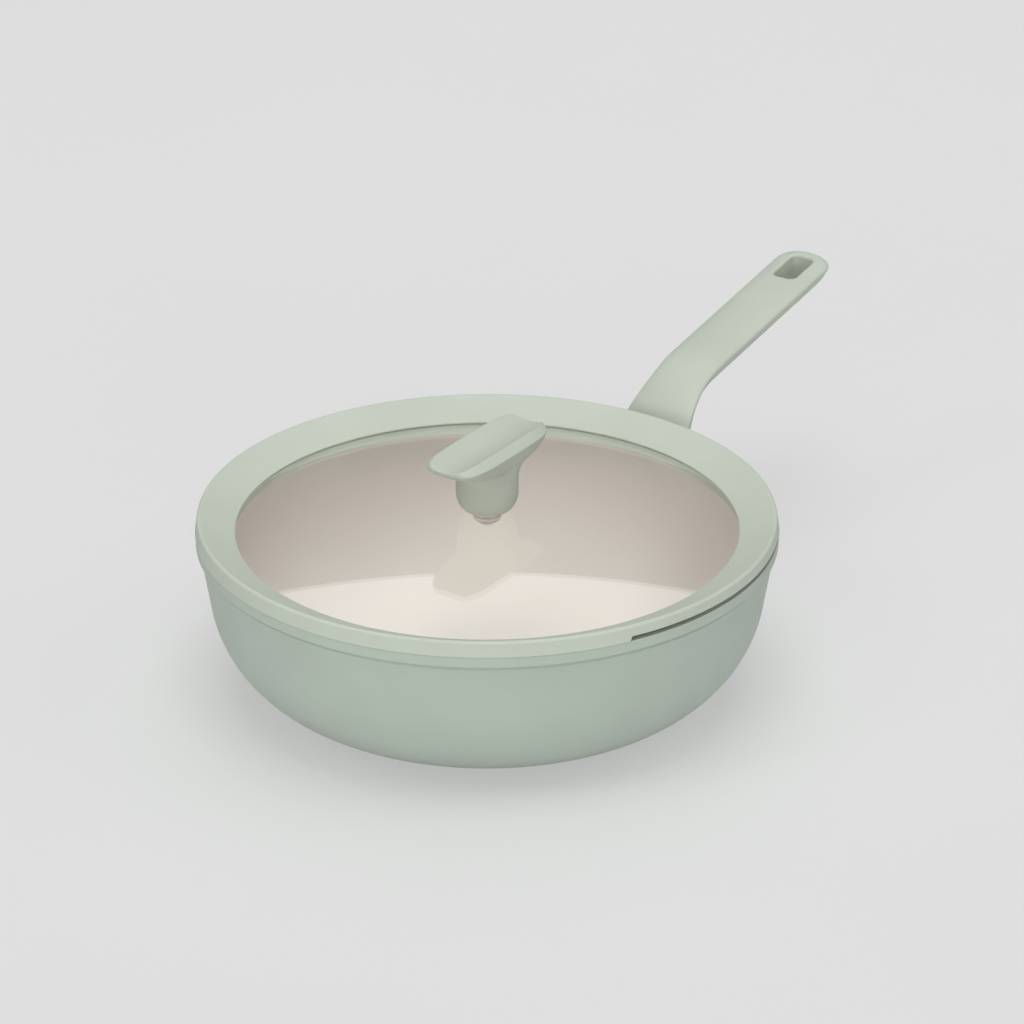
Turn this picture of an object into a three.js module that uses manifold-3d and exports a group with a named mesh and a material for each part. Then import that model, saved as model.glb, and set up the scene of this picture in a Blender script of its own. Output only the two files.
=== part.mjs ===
// Wok with a glass lid: an aluminium pan with a screwed-on handle, and a domed glass in a silicone rim.
// Millimetres, +Z up. The origin is the centre of the base on the hob, and the handle points along +X.
import * as THREE from 'three';
import { mergeVertices } from 'three/addons/utils/BufferGeometryUtils.js';
import Module from 'manifold-3d';

const wasm = await Module();
wasm.setup();

// Fits
const SEAT_GAP = 0.3;
const SCREW_CLEARANCE = 0.3;
const CUT_OVERRUN = 2;
const WELD_TOLERANCE = 1e-4;

// Pan
const MOUTH_R = 140;
const RIM_TOP_Z = 86;
const RIM_W = 4;
const RIM_BEAD_H = 5.4;
const RIM_OVERHANG = 2;
const RIM_FILLET = 1.2;
const WALL_LEAN = THREE.MathUtils.degToRad(8.83);
const BASE_T = 4;
const CORNER_R = 59;

// Steel disc for induction hobs, let into the base
const DISC_MARGIN = 13;
const DISC_T = 1.2;
const DISC_PROUD = 0.4;
const DISC_CHAMFER = 0.3;
const GROOVE_FIRST_R = 20;
const GROOVE_PITCH = 14;
const GROOVE_COUNT = 3;
const GROOVE_W = 3;
const GROOVE_DEPTH = 0.4;

// Lid glass
const GLASS_INSET = 8;
const GLASS_T = 4;
const GLASS_RISE = 9.5;
const GLASS_HOLE_R = 5;
const GLASS_EDGE_CHAMFER = 1;

// Silicone rim of the lid
const LIP_COVER = 7.4;
const LIP_T = 0.8;
const RING_OVERHANG = 0.3;
const RING_H = 7.4;
const RING_DRAFT = 0.9;
const CREST_R = 1.5;
const INNER_LIP_COVER = 6;
const INNER_LIP_W = 3;
const PLUG_CLEARANCE = 1;
const PLUG_WALL = 2.4;
const RELIEF_WEB = 2;
const RELIEF_DEPTH = 1.3;
const RELIEF_DRAFT = 0.6;
const POUR_SLOT_H = 2.2;
const POUR_SLOT_HALF_ANGLE = THREE.MathUtils.degToRad(26.5);
const POUR_SLOT_MID_ANGLE = THREE.MathUtils.degToRad(-90);

// Knob
const KNOB_H = 36.8;
const KNOB_HALF_L = 37.4;
const KNOB_HALF_W = 16.4;
const STEM_R = 15.5;
const FOOT_R = 8.8;
const FOOT_ROUND_H = 10;
const FILLET_W = 5;
const FILLET_H = 9;
const HULL_H = 9;
const LAND_H = 3.5;
const LAND_W = 4.6;
const TROUGH_DEPTH = 3.2;
const TROUGH_BITE = 0.2;
const WING_FULLNESS = 4.2;
const WING_SQUARE_BY = 8;

// Lid screw and what it clamps
const LID_SCREW_R = 2.3;
const LID_SCREW_HEAD_R = 4.4;
const LID_SCREW_HEAD_H = 2.2;
const INSERT_R = 4.2;
const INSERT_L = 14;
const INSERT_FLATS = 6;
const SCREW_GRIP = 11;
const TOP_GASKET_INSET = 0.4;
const TOP_GASKET_T = 0.7;
const GROMMET_R = 7;
const GROMMET_FLANGE_T = 1;
const GROMMET_SHORT = 1;
const WASHER_R = 6.2;
const WASHER_T = 1;

// Handle: a line up from the wall, a bend, then a straight grip
const ROOT_DROP = 15;
const NECK_RISE = THREE.MathUtils.degToRad(47);
const GRIP_RISE = THREE.MathUtils.degToRad(9.5);
const BEND_R = 63.6;
const NECK_L = 22.4;
const GRIP_L = 112.5;
const ROOT_W = 42;
const GRIP_W = 31.2;
const FLARE_L = 50;
const CROWN_H = 2;
const EDGE_DROP = 1.3;
const ROOT_BELLY = 16;
const GRIP_BELLY = 16;
const CROWN_FULLNESS = 2.2;
const ROOT_KEEL = 0.95;
const GRIP_KEEL = 2;
const TIP_L = 12;
const TIP_FULLNESS = 2.8;
const TIP_BLUNT = 0.36;
const ROOT_GAP = 0.4;
const ROOT_RUN_IN = 32;
const ROOT_SWELL = 6;

// Hanging hole near the tip of the handle
const HANG_L = 22.4;
const HANG_W = 13.2;
const HANG_CORNER_R = 3.6;
const HANG_FROM_TIP = 5.8;
const HANG_BEVEL = 1.1;

// Bracket that carries the handle, and its welded studs
const BRACKET_DROP = 9.5;
const PLATE_END = 6;
const PLATE_H = 14;
const PLATE_CORNER_R = 6;
const PLATE_T = 2.5;
const TONGUE_W = 9;
const TONGUE_T = 4;
const TONGUE_L = 31;
const STUD_TO_TONGUE = 0.4;
const STUD_R = 2.3;
const STUD_FLANGE_R = 4.2;
const STUD_FLANGE_T = 1.4;
const STUD_HEAD_R = 3.6;
const STUD_HEAD_T = 1.4;
const POCKET_CLEARANCE = 0.6;

// Handle screw, driven from below into the tongue
const HANDLE_SCREW_R = 2.3;
const HANDLE_SCREW_HEAD_R = 4.2;
const HANDLE_SCREW_HEAD_H = 2.2;
const HANDLE_SCREW_AT = 18;
const SCREW_FLOOR = 2;
const LOCK_WASHER_T = 0.8;
const COUNTERBORE_CLEARANCE = 0.6;

// Facets
const ROUND_STEPS = 64;
const SMALL_STEPS = 16;
const SECTION_STEPS = 24;
const WING_STEPS = 44;
const DISC_STEPS = 40;
const CORNER_STEPS = 9;
const BEAD_STEPS = 2;
const GLASS_STEPS = 5;
const GROOVE_STEPS = 2;
const CREST_STEPS = 4;
const SLOT_STEPS = 12;
const HOLE_STEPS = 4;
const FOOT_STEPS = 5;
const FILLET_STEPS = 3;
const HULL_STEPS = 6;
const BEND_STEPS = 7;
const GRIP_STEPS = 5;
const TIP_STEPS = 4;

// Levels and radii that follow from the sizes above
const RIM_R = MOUTH_R + RIM_W;
const BEAD_LOW_Z = RIM_TOP_Z - RIM_BEAD_H;
const WALL_TOP_R = RIM_R - RIM_OVERHANG;
const BASE_LOW_Z = DISC_PROUD;
const CORNER_Z = BASE_LOW_Z + CORNER_R;
const WALL_FOOT_Z = CORNER_Z - CORNER_R * Math.sin(WALL_LEAN);
const WALL_FOOT_R = WALL_TOP_R - (BEAD_LOW_Z - WALL_FOOT_Z) * Math.tan(WALL_LEAN);
const BASE_FLAT_R = WALL_FOOT_R - CORNER_R * Math.cos(WALL_LEAN);
const DISC_R = BASE_FLAT_R - DISC_MARGIN;
const LID_Z = RIM_TOP_Z + SEAT_GAP;
const RING_R = RIM_R + RING_OVERHANG;
const GLASS_R = MOUTH_R - GLASS_INSET;
const LIP_R = GLASS_R - LIP_COVER;
const INNER_LIP_R = GLASS_R - INNER_LIP_COVER;
const LIP_Z = RIM_TOP_Z;
const GLASS_LIP_Z = LIP_Z - LIP_T;
const GLASS_SPHERE_R = (LIP_R ** 2 + GLASS_RISE ** 2) / (2 * GLASS_RISE);
const GLASS_TOP_Z = GLASS_LIP_Z + GLASS_RISE;
const KNOB_Z = GLASS_TOP_Z + SEAT_GAP + TOP_GASKET_T + SEAT_GAP;
const WING_H = KNOB_H - LAND_H;
const HULL_START = Math.asin((STEM_R + FILLET_W) / KNOB_HALF_L);
const FILLET_TOP_H = WING_H - HULL_H * Math.cos(HULL_START);
const TROUGH_HALF_W = KNOB_HALF_W - LAND_W + TROUGH_BITE;
const TOP_GASKET_R = FOOT_R - TOP_GASKET_INSET;
const INSERT_LOW_Z = KNOB_Z + SEAT_GAP;
const INSERT_TOP_Z = INSERT_LOW_Z + INSERT_L;
const GROMMET_TOP_Z = glassZ(GROMMET_R, GLASS_T) - SEAT_GAP;
const WASHER_TOP_Z = GROMMET_TOP_Z - GROMMET_FLANGE_T - SEAT_GAP;
const LID_HEAD_TOP_Z = WASHER_TOP_Z - WASHER_T - SEAT_GAP;

// Lengths along the handle, and the layers of its joint to the wall
const ROOT_Z = RIM_TOP_Z - ROOT_DROP;
const BEND_L = BEND_R * (NECK_RISE - GRIP_RISE);
const HANDLE_L = NECK_L + BEND_L + GRIP_L;
const BRACKET_Z = ROOT_Z - BRACKET_DROP;
const STUD_SPACING = TONGUE_W + 2 * (STUD_HEAD_R + STUD_TO_TONGUE);
const PLATE_W = STUD_SPACING + 2 * PLATE_END;
const PLATE_IN_X = SEAT_GAP + STUD_FLANGE_T + SEAT_GAP;
const PLATE_OUT_X = PLATE_IN_X + PLATE_T;
const STUD_END_X = PLATE_OUT_X + SEAT_GAP + STUD_HEAD_T;
const SCREW_SEAT_Z = -TONGUE_T / 2 - SEAT_GAP - SCREW_FLOOR;
const LOCK_WASHER_TOP_Z = SCREW_SEAT_Z - SEAT_GAP;
const HANDLE_HEAD_TOP_Z = LOCK_WASHER_TOP_Z - LOCK_WASHER_T - SEAT_GAP;
const HANDLE_SCREW_TIP_Z = TONGUE_T / 2 + SEAT_GAP;
const COUNTERBORE_R = HANDLE_SCREW_HEAD_R + COUNTERBORE_CLEARANCE;

// Finishes
const SAGE_PAINT = { color: 0xa3b09f, roughness: 0.55, metalness: 0 };
const SAGE_SILICONE = { color: 0xb7bfb0, roughness: 0.6, metalness: 0 };
const SAGE_GRIP = { color: 0xb4beae, roughness: 0.5, metalness: 0 };
const CLEAR_GLASS = { color: 0xdfe8e4, roughness: 0.05, metalness: 0, transparent: true, opacity: 0.35 };
const STEEL = { color: 0xb9bcbe, roughness: 0.3, metalness: 1 };
const ALUMINIUM = { color: 0xc8cacb, roughness: 0.4, metalness: 1 };
const BRASS = { color: 0xb58d3d, roughness: 0.35, metalness: 1 };
const RUBBER = { color: 0xd9d8d2, roughness: 0.7, metalness: 0 };

// Keeps only positions, joins equal corners and drops triangles without area.
function weld(geometry) {
  const bare = geometry.index ? geometry.toNonIndexed() : geometry.clone();
  bare.deleteAttribute('normal');
  bare.deleteAttribute('uv');
  const merged = mergeVertices(bare, WELD_TOLERANCE);
  const corners = merged.index.array;
  const kept = [];
  for (let i = 0; i < corners.length; i += 3) {
    const [a, b, c] = [corners[i], corners[i + 1], corners[i + 2]];
    if (a !== b && b !== c && c !== a) {
      kept.push(a, b, c);
    }
  }
  merged.setIndex(kept);
  return merged;
}

function toSolid(geometry) {
  const welded = weld(geometry);
  return new wasm.Manifold(new wasm.Mesh({
    numProp: 3,
    vertProperties: new Float32Array(welded.attributes.position.array),
    triVerts: new Uint32Array(welded.index.array),
  }));
}

function toGeometry(solid) {
  const mesh = solid.getMesh();
  const geometry = new THREE.BufferGeometry();
  geometry.setAttribute('position', new THREE.BufferAttribute(new Float32Array(mesh.vertProperties), 3));
  geometry.setIndex(new THREE.BufferAttribute(new Uint32Array(mesh.triVerts), 1));
  return geometry;
}

function subtract(geometry, cutters) {
  return toGeometry(cutters.reduce((left, cutter) => left.subtract(toSolid(cutter)), toSolid(geometry)));
}

function join(geometries) {
  const [first, ...rest] = geometries.map(toSolid);
  return toGeometry(rest.reduce((sum, solid) => sum.add(solid), first));
}

function piece(name, geometry, finish) {
  const mesh = new THREE.Mesh(geometry, new THREE.MeshStandardMaterial(finish));
  mesh.name = name;
  mesh.geometry.computeVertexNormals();
  return mesh;
}

// A solid of revolution about Z from [radius, height] pairs listed with the material on their left.
function revolve(profile, steps) {
  const points = profile.map(([r, z]) => new THREE.Vector2(r, z));
  return weld(new THREE.LatheGeometry(points, steps).rotateX(Math.PI / 2));
}

function closedRevolve(profile, steps) {
  return revolve([...profile, profile[0]], steps);
}

// A ring or disc with a flat top and bottom.
function washer(outerR, innerR, lowZ, highZ, steps = SMALL_STEPS) {
  return closedRevolve([[innerR, lowZ], [outerR, lowZ], [outerR, highZ], [innerR, highZ]], steps);
}

function rod(r, lowZ, highZ, steps = SMALL_STEPS) {
  return revolve([[0, lowZ], [r, lowZ], [r, highZ], [0, highZ]], steps);
}

function box(sizeX, sizeY, sizeZ, centreX, centreY, centreZ) {
  return new THREE.BoxGeometry(sizeX, sizeY, sizeZ).translate(centreX, centreY, centreZ);
}

function arc(centreR, centreZ, radius, from, to, steps) {
  return Array.from({ length: steps + 1 }, (_, i) => {
    const angle = THREE.MathUtils.lerp(from, to, i / steps);
    return [centreR + radius * Math.cos(angle), centreZ + radius * Math.sin(angle)];
  });
}

// Angle on a circle where the line to an outside point leaves it, on the lower right of the circle.
function tangentAngle(centreR, centreZ, radius, pointR, pointZ) {
  const toPoint = Math.atan2(pointZ - centreZ, pointR - centreR);
  const distance = Math.hypot(pointR - centreR, pointZ - centreZ);
  return toPoint - Math.acos(radius / distance);
}

// A closed skin over rings of equal point count, with a fan over each end.
function loft(rings) {
  const count = rings[0].length;
  const points = rings.flat();
  const faces = [];
  for (let i = 0; i < rings.length - 1; i++) {
    for (let k = 0; k < count; k++) {
      const next = (k + 1) % count;
      const [a, b] = [i * count + k, i * count + next];
      const [c, d] = [(i + 1) * count + k, (i + 1) * count + next];
      faces.push(a, b, d, a, d, c);
    }
  }
  const centre = (ring) => ring.reduce((sum, p) => sum.add(p), new THREE.Vector3()).divideScalar(count);
  const first = points.push(centre(rings[0])) - 1;
  const last = points.push(centre(rings[rings.length - 1])) - 1;
  const top = (rings.length - 1) * count;
  for (let k = 0; k < count; k++) {
    const next = (k + 1) % count;
    faces.push(first, next, k);
    faces.push(last, top + k, top + next);
  }
  const geometry = new THREE.BufferGeometry().setFromPoints(points);
  geometry.setIndex(faces);
  return geometry;
}

// One coordinate of a rounded oval: fullness 2 is an ellipse, larger is squarer.
function oval(value, fullness) {
  return Math.sign(value) * Math.abs(value) ** (2 / fullness);
}

function extrude(shape, depth, curveSegments) {
  return new THREE.ExtrudeGeometry(shape, { depth, bevelEnabled: false, curveSegments });
}

function roundedSlot(length, width, cornerR) {
  const [x, y] = [length / 2, width / 2];
  const shape = new THREE.Shape();
  shape.absarc(x - cornerR, y - cornerR, cornerR, 0, Math.PI / 2);
  shape.absarc(-x + cornerR, y - cornerR, cornerR, Math.PI / 2, Math.PI);
  shape.absarc(-x + cornerR, -y + cornerR, cornerR, Math.PI, 1.5 * Math.PI);
  shape.absarc(x - cornerR, -y + cornerR, cornerR, 1.5 * Math.PI, 2 * Math.PI);
  return shape;
}

// Outer wall of the pan, from the flat of the base to the underside of the rim bead, grown by an offset.
function outerWall(offset) {
  const corner = arc(BASE_FLAT_R, CORNER_Z, CORNER_R + offset, -Math.PI / 2, -WALL_LEAN, CORNER_STEPS);
  return [...corner, [WALL_TOP_R + offset / Math.cos(WALL_LEAN), BEAD_LOW_Z]];
}

function innerWall() {
  const radius = CORNER_R - BASE_T;
  const end = tangentAngle(BASE_FLAT_R, CORNER_Z, radius, MOUTH_R, RIM_TOP_Z - RIM_FILLET);
  return arc(BASE_FLAT_R, CORNER_Z, radius, end, -Math.PI / 2, CORNER_STEPS);
}

// Radius of the inside of the pan at a height on its straight upper wall.
function mouthRadiusAt(z) {
  const [wallR, wallZ] = innerWall()[0];
  return THREE.MathUtils.mapLinear(z, wallZ, RIM_TOP_Z - RIM_FILLET, wallR, MOUTH_R);
}

function panBody() {
  const recessZ = DISC_T + SEAT_GAP;
  const recessR = DISC_R + SEAT_GAP;
  return revolve([
    [0, recessZ],
    [recessR, recessZ],
    [recessR, BASE_LOW_Z],
    ...outerWall(0),
    [RIM_R - RIM_FILLET, BEAD_LOW_Z],
    [RIM_R, BEAD_LOW_Z + RIM_FILLET],
    ...arc(RIM_R - RIM_FILLET, RIM_TOP_Z - RIM_FILLET, RIM_FILLET, 0, Math.PI / 2, BEAD_STEPS),
    ...arc(MOUTH_R + RIM_FILLET, RIM_TOP_Z - RIM_FILLET, RIM_FILLET, Math.PI / 2, Math.PI, BEAD_STEPS),
    ...innerWall(),
    [0, CORNER_Z - CORNER_R + BASE_T],
  ], ROUND_STEPS);
}

function baseDisc() {
  const profile = [[0, 0]];
  for (let i = 0; i < GROOVE_COUNT; i++) {
    const grooveR = GROOVE_FIRST_R + i * GROOVE_PITCH;
    profile.push([grooveR, 0]);
    profile.push([grooveR + GROOVE_W / 2, GROOVE_DEPTH]);
    profile.push([grooveR + GROOVE_W, 0]);
  }
  profile.push([DISC_R - DISC_CHAMFER, 0]);
  profile.push([DISC_R, DISC_CHAMFER]);
  profile.push([DISC_R, DISC_T]);
  profile.push([0, DISC_T]);
  return revolve(profile, DISC_STEPS);
}

// Height of the glass at a radius: depth 0 is its top face and GLASS_T its underside.
function glassZ(r, depth) {
  const radius = GLASS_SPHERE_R - depth;
  return GLASS_TOP_Z - GLASS_SPHERE_R + Math.sqrt(radius ** 2 - r ** 2);
}

// Points along a face of the glass, moved up or down by a gap.
function glassLine(fromR, toR, depth, gap, steps) {
  return Array.from({ length: steps + 1 }, (_, i) => {
    const r = THREE.MathUtils.lerp(fromR, toR, i / steps);
    return [r, glassZ(r, depth) + gap];
  });
}

function lidGlass() {
  const edgeR = GLASS_R - GLASS_EDGE_CHAMFER;
  return closedRevolve([
    ...glassLine(GLASS_HOLE_R, edgeR, GLASS_T, 0, GLASS_STEPS),
    [GLASS_R, glassZ(GLASS_R, GLASS_T) + GLASS_EDGE_CHAMFER],
    [GLASS_R, glassZ(GLASS_R, 0) - GLASS_EDGE_CHAMFER],
    ...glassLine(edgeR, GLASS_HOLE_R, 0, 0, GLASS_STEPS),
  ], ROUND_STEPS);
}

// The rim grips the edge of the glass, rests on the pan and plugs its mouth.
function lidRim() {
  const grooveR = GLASS_R + SEAT_GAP;
  const reliefZ = glassZ(grooveR, GLASS_T) - SEAT_GAP - RELIEF_WEB;
  const plugZ = reliefZ - RELIEF_DEPTH;
  const crestR = RING_R - RING_DRAFT - CREST_R;
  const crestZ = LID_Z + RING_H - CREST_R;
  const crestEnd = Math.PI / 2 + Math.atan2(crestZ - LIP_Z, crestR - LIP_R);
  const plugLowR = mouthRadiusAt(plugZ) - PLUG_CLEARANCE;
  const plugTopR = mouthRadiusAt(RIM_TOP_Z) - PLUG_CLEARANCE;
  const reliefInR = INNER_LIP_R + INNER_LIP_W;
  const reliefOutR = plugLowR - PLUG_WALL;
  const ring = closedRevolve([
    [RING_R, LID_Z],
    ...arc(crestR, crestZ, CREST_R, 0, crestEnd, CREST_STEPS),
    [LIP_R, LIP_Z],
    ...glassLine(LIP_R, grooveR, 0, SEAT_GAP, GROOVE_STEPS),
    ...glassLine(grooveR, INNER_LIP_R, GLASS_T, -SEAT_GAP, GROOVE_STEPS),
    [INNER_LIP_R, plugZ],
    [reliefInR - RELIEF_DRAFT, plugZ],
    [reliefInR, reliefZ],
    [reliefOutR - RELIEF_DRAFT, reliefZ],
    [reliefOutR, plugZ],
    [plugLowR, plugZ],
    [plugTopR, LID_Z],
  ], ROUND_STEPS);
  return subtract(ring, [pourSlot(reliefOutR - RELIEF_DRAFT / 2, plugZ)]);
}

// Sector cut from the relief groove to the outside, open downwards over the rim of the pan.
function pourSlot(fromR, plugZ) {
  const start = POUR_SLOT_MID_ANGLE - POUR_SLOT_HALF_ANGLE;
  const end = POUR_SLOT_MID_ANGLE + POUR_SLOT_HALF_ANGLE;
  const sector = new THREE.Shape();
  sector.absarc(0, 0, RING_R + CUT_OVERRUN, start, end, false);
  sector.absarc(0, 0, fromR, end, start, true);
  const lowZ = plugZ - CUT_OVERRUN;
  const height = LID_Z + POUR_SLOT_H - lowZ;
  return extrude(sector, height, SLOT_STEPS).translate(0, 0, lowZ);
}

// Heights above the knob's foot with the half length and half width there: foot, stem, wing and side lands.
function knobOutline() {
  const rows = [];
  for (let i = 0; i <= FOOT_STEPS; i++) {
    const angle = Math.PI / 2 * i / FOOT_STEPS;
    const r = FOOT_R + (STEM_R - FOOT_R) * Math.sin(angle);
    rows.push([FOOT_ROUND_H * (1 - Math.cos(angle)), r, r]);
  }
  for (let i = 0; i < FILLET_STEPS; i++) {
    const angle = Math.PI / 2 * i / FILLET_STEPS;
    const h = FILLET_TOP_H - FILLET_H * (1 - Math.sin(angle));
    rows.push([h, STEM_R + FILLET_W * (1 - Math.cos(angle)), STEM_R]);
  }
  for (let i = 0; i <= HULL_STEPS; i++) {
    const angle = THREE.MathUtils.lerp(HULL_START, Math.PI / 2, i / HULL_STEPS);
    const halfW = THREE.MathUtils.lerp(STEM_R, KNOB_HALF_W, i / HULL_STEPS);
    rows.push([WING_H - HULL_H * Math.cos(angle), KNOB_HALF_L * Math.sin(angle), halfW]);
  }
  rows.push([KNOB_H, KNOB_HALF_L, KNOB_HALF_W - LAND_W]);
  return rows;
}

// A round stem that flares into a wing with a finger trough along its top.
function knob() {
  const rings = knobOutline().map(([h, halfL, halfW]) => {
    const square = THREE.MathUtils.clamp((halfL - halfW) / WING_SQUARE_BY, 0, 1);
    const fullness = THREE.MathUtils.lerp(2, WING_FULLNESS, square);
    return Array.from({ length: WING_STEPS }, (_, k) => {
      const angle = 2 * Math.PI * k / WING_STEPS;
      const x = halfL * oval(Math.cos(angle), fullness);
      const y = halfW * oval(Math.sin(angle), fullness);
      return new THREE.Vector3(x, y, KNOB_Z + h);
    });
  });
  const troughR = (TROUGH_HALF_W ** 2 + TROUGH_DEPTH ** 2) / (2 * TROUGH_DEPTH);
  const troughL = 2 * (KNOB_HALF_L + CUT_OVERRUN);
  const trough = new THREE.CylinderGeometry(troughR, troughR, troughL, ROUND_STEPS).rotateZ(Math.PI / 2);
  trough.translate(0, 0, KNOB_Z + KNOB_H - TROUGH_DEPTH + troughR);
  const insertBore = hexBar(INSERT_R + SEAT_GAP, KNOB_Z - CUT_OVERRUN, INSERT_TOP_Z + SEAT_GAP);
  return subtract(loft(rings), [trough, insertBore]);
}

function hexBar(r, lowZ, highZ) {
  return rod(r, lowZ, highZ, INSERT_FLATS);
}

// Brass nut moulded into the stem of the knob.
function knobInsert() {
  const boreR = LID_SCREW_R + SCREW_CLEARANCE;
  const thread = rod(boreR, INSERT_LOW_Z - CUT_OVERRUN, INSERT_TOP_Z + CUT_OVERRUN);
  return subtract(hexBar(INSERT_R, INSERT_LOW_Z, INSERT_TOP_Z), [thread]);
}

function knobGasket() {
  const lowZ = GLASS_TOP_Z + SEAT_GAP;
  return washer(TOP_GASKET_R, LID_SCREW_R + SCREW_CLEARANCE, lowZ, lowZ + TOP_GASKET_T);
}

// Flanged rubber grommet that keeps the screw off the glass.
function lidGrommet() {
  const bore = LID_SCREW_R + SCREW_CLEARANCE;
  const collarR = GLASS_HOLE_R - SEAT_GAP;
  const collarZ = GROMMET_TOP_Z + GLASS_T - GROMMET_SHORT;
  return closedRevolve([
    [bore, GROMMET_TOP_Z - GROMMET_FLANGE_T],
    [GROMMET_R, GROMMET_TOP_Z - GROMMET_FLANGE_T],
    [GROMMET_R, GROMMET_TOP_Z],
    [collarR, GROMMET_TOP_Z],
    [collarR, collarZ],
    [bore, collarZ],
  ], SMALL_STEPS);
}

function lidWasher() {
  return washer(WASHER_R, LID_SCREW_R + SCREW_CLEARANCE, WASHER_TOP_Z - WASHER_T, WASHER_TOP_Z);
}

// A screw along Z with a domed head below its seat and a shank above.
function screw(shankR, headR, headH, seatZ, tipZ) {
  const rimZ = seatZ - headH / 2;
  return revolve([
    [0, seatZ - headH],
    [headR / 2, seatZ - headH],
    [headR, rimZ],
    [headR, seatZ],
    [shankR, seatZ],
    [shankR, tipZ - shankR / 2],
    [shankR / 2, tipZ],
    [0, tipZ],
  ], SMALL_STEPS);
}

function lidScrew() {
  return screw(LID_SCREW_R, LID_SCREW_HEAD_R, LID_SCREW_HEAD_H, LID_HEAD_TOP_Z, KNOB_Z + SCREW_GRIP);
}

// Point and slope of the handle's top line, which lies in the XZ plane, at a distance from the wall.
function spineAt(s) {
  const along = (from, rise, length) => from.clone().add(
    new THREE.Vector3(Math.cos(rise), 0, Math.sin(rise)).multiplyScalar(length));
  const wall = new THREE.Vector3(WALL_TOP_R, 0, ROOT_Z);
  if (s <= NECK_L) {
    return { point: along(wall, NECK_RISE, s), rise: NECK_RISE };
  }
  const bendStart = along(wall, NECK_RISE, NECK_L);
  const turned = Math.min(s - NECK_L, BEND_L) / BEND_R;
  const rise = NECK_RISE - turned;
  const chord = 2 * BEND_R * Math.sin(turned / 2);
  const onBend = along(bendStart, NECK_RISE - turned / 2, chord);
  return { point: along(onBend, rise, Math.max(s - NECK_L - BEND_L, 0)), rise };
}

// One ring of the handle: a crowned top over a belly, which is round at the root and keeled along the grip.
function handleRing(s) {
  const { point, rise } = spineAt(s);
  const flare = 1 - THREE.MathUtils.smoothstep(s, 0, FLARE_L);
  const swell = ROOT_SWELL * Math.max(-s / ROOT_RUN_IN, 0);
  const fromTip = THREE.MathUtils.clamp((HANDLE_L - s) / TIP_L, 0, 1);
  const tip = (1 - (1 - fromTip) ** TIP_FULLNESS) ** (1 / TIP_FULLNESS);
  const halfW = tip * THREE.MathUtils.lerp(GRIP_W, ROOT_W, flare) / 2;
  const drop = EDGE_DROP * (1 - flare) * Math.sqrt(tip);
  const crown = drop + CROWN_H * Math.sqrt(tip);
  const belly = swell + Math.sqrt(tip) * THREE.MathUtils.lerp(GRIP_BELLY, ROOT_BELLY, flare) - drop;
  const keel = THREE.MathUtils.lerp(GRIP_KEEL, ROOT_KEEL, flare);
  const up = new THREE.Vector3(-Math.sin(rise), 0, Math.cos(rise));
  const across = new THREE.Vector3(0, 1, 0);
  return Array.from({ length: SECTION_STEPS }, (_, k) => {
    const angle = 2 * Math.PI * k / SECTION_STEPS;
    const turn = new THREE.Vector2(Math.cos(angle), Math.sin(angle));
    const onTop = k < SECTION_STEPS / 2;
    const side = onTop ? oval(turn.x, CROWN_FULLNESS) : turn.x;
    const height = onTop ? crown * oval(turn.y, CROWN_FULLNESS) : -belly * Math.abs(turn.y) ** keel;
    return point.clone().addScaledVector(across, halfW * side).addScaledVector(up, height - drop);
  });
}

// Distances from the wall at which the handle's rings stand, closer together at its bend and tip.
function handleStations() {
  const stations = [-ROOT_RUN_IN, 0, NECK_L / 2];
  for (let i = 0; i <= BEND_STEPS; i++) {
    stations.push(NECK_L + BEND_L * i / BEND_STEPS);
  }
  for (let i = 1; i <= GRIP_STEPS; i++) {
    stations.push(NECK_L + BEND_L + (GRIP_L - TIP_L) * i / GRIP_STEPS);
  }
  for (let i = 1; i <= TIP_STEPS; i++) {
    const along = Math.sin(Math.PI / 2 * i / TIP_STEPS);
    stations.push(HANDLE_L - TIP_L + (TIP_L - TIP_BLUNT) * along);
  }
  return stations;
}

// Frame on the outside of the wall at the bracket: X is square to the wall and Z runs up it.
const wallFrame = new THREE.Group();
// Frame in the neck: X runs up its middle line from the bracket plate and Z is square to it.
const neckFrame = new THREE.Group();

function placeFrames() {
  const wallR = WALL_TOP_R - (BEAD_LOW_Z - BRACKET_Z) * Math.tan(WALL_LEAN);
  wallFrame.position.set(wallR, 0, BRACKET_Z);
  wallFrame.rotation.set(0, WALL_LEAN, 0);
  wallFrame.updateMatrixWorld(true);
  const plateFace = new THREE.Vector3(PLATE_OUT_X, 0, 0).applyMatrix4(wallFrame.matrixWorld);
  const depth = (ROOT_BELLY - CROWN_H) / 2;
  const start = spineAt(0).point.addScaledVector(
    new THREE.Vector3(Math.sin(NECK_RISE), 0, -Math.cos(NECK_RISE)), depth);
  const back = (start.x - plateFace.x) / Math.cos(NECK_RISE);
  neckFrame.position.set(plateFace.x, 0, start.z - back * Math.sin(NECK_RISE));
  neckFrame.rotation.set(0, -NECK_RISE, 0);
  neckFrame.updateMatrixWorld(true);
}

placeFrames();

// A stud welded to the wall, with its end peened over the bracket plate.
function weldStud(y) {
  return revolve([
    [0, SEAT_GAP],
    [STUD_FLANGE_R, SEAT_GAP],
    [STUD_FLANGE_R, SEAT_GAP + STUD_FLANGE_T],
    [STUD_R, SEAT_GAP + STUD_FLANGE_T],
    [STUD_R, PLATE_OUT_X + SEAT_GAP],
    [STUD_HEAD_R, PLATE_OUT_X + SEAT_GAP],
    [STUD_HEAD_R / 2, STUD_END_X],
    [0, STUD_END_X],
  ], SMALL_STEPS).rotateY(Math.PI / 2).translate(0, y, 0);
}

function studHole(y) {
  const hole = rod(STUD_R + SCREW_CLEARANCE, PLATE_IN_X - CUT_OVERRUN, PLATE_OUT_X + CUT_OVERRUN);
  return hole.rotateY(Math.PI / 2).translate(0, y, 0);
}

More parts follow.
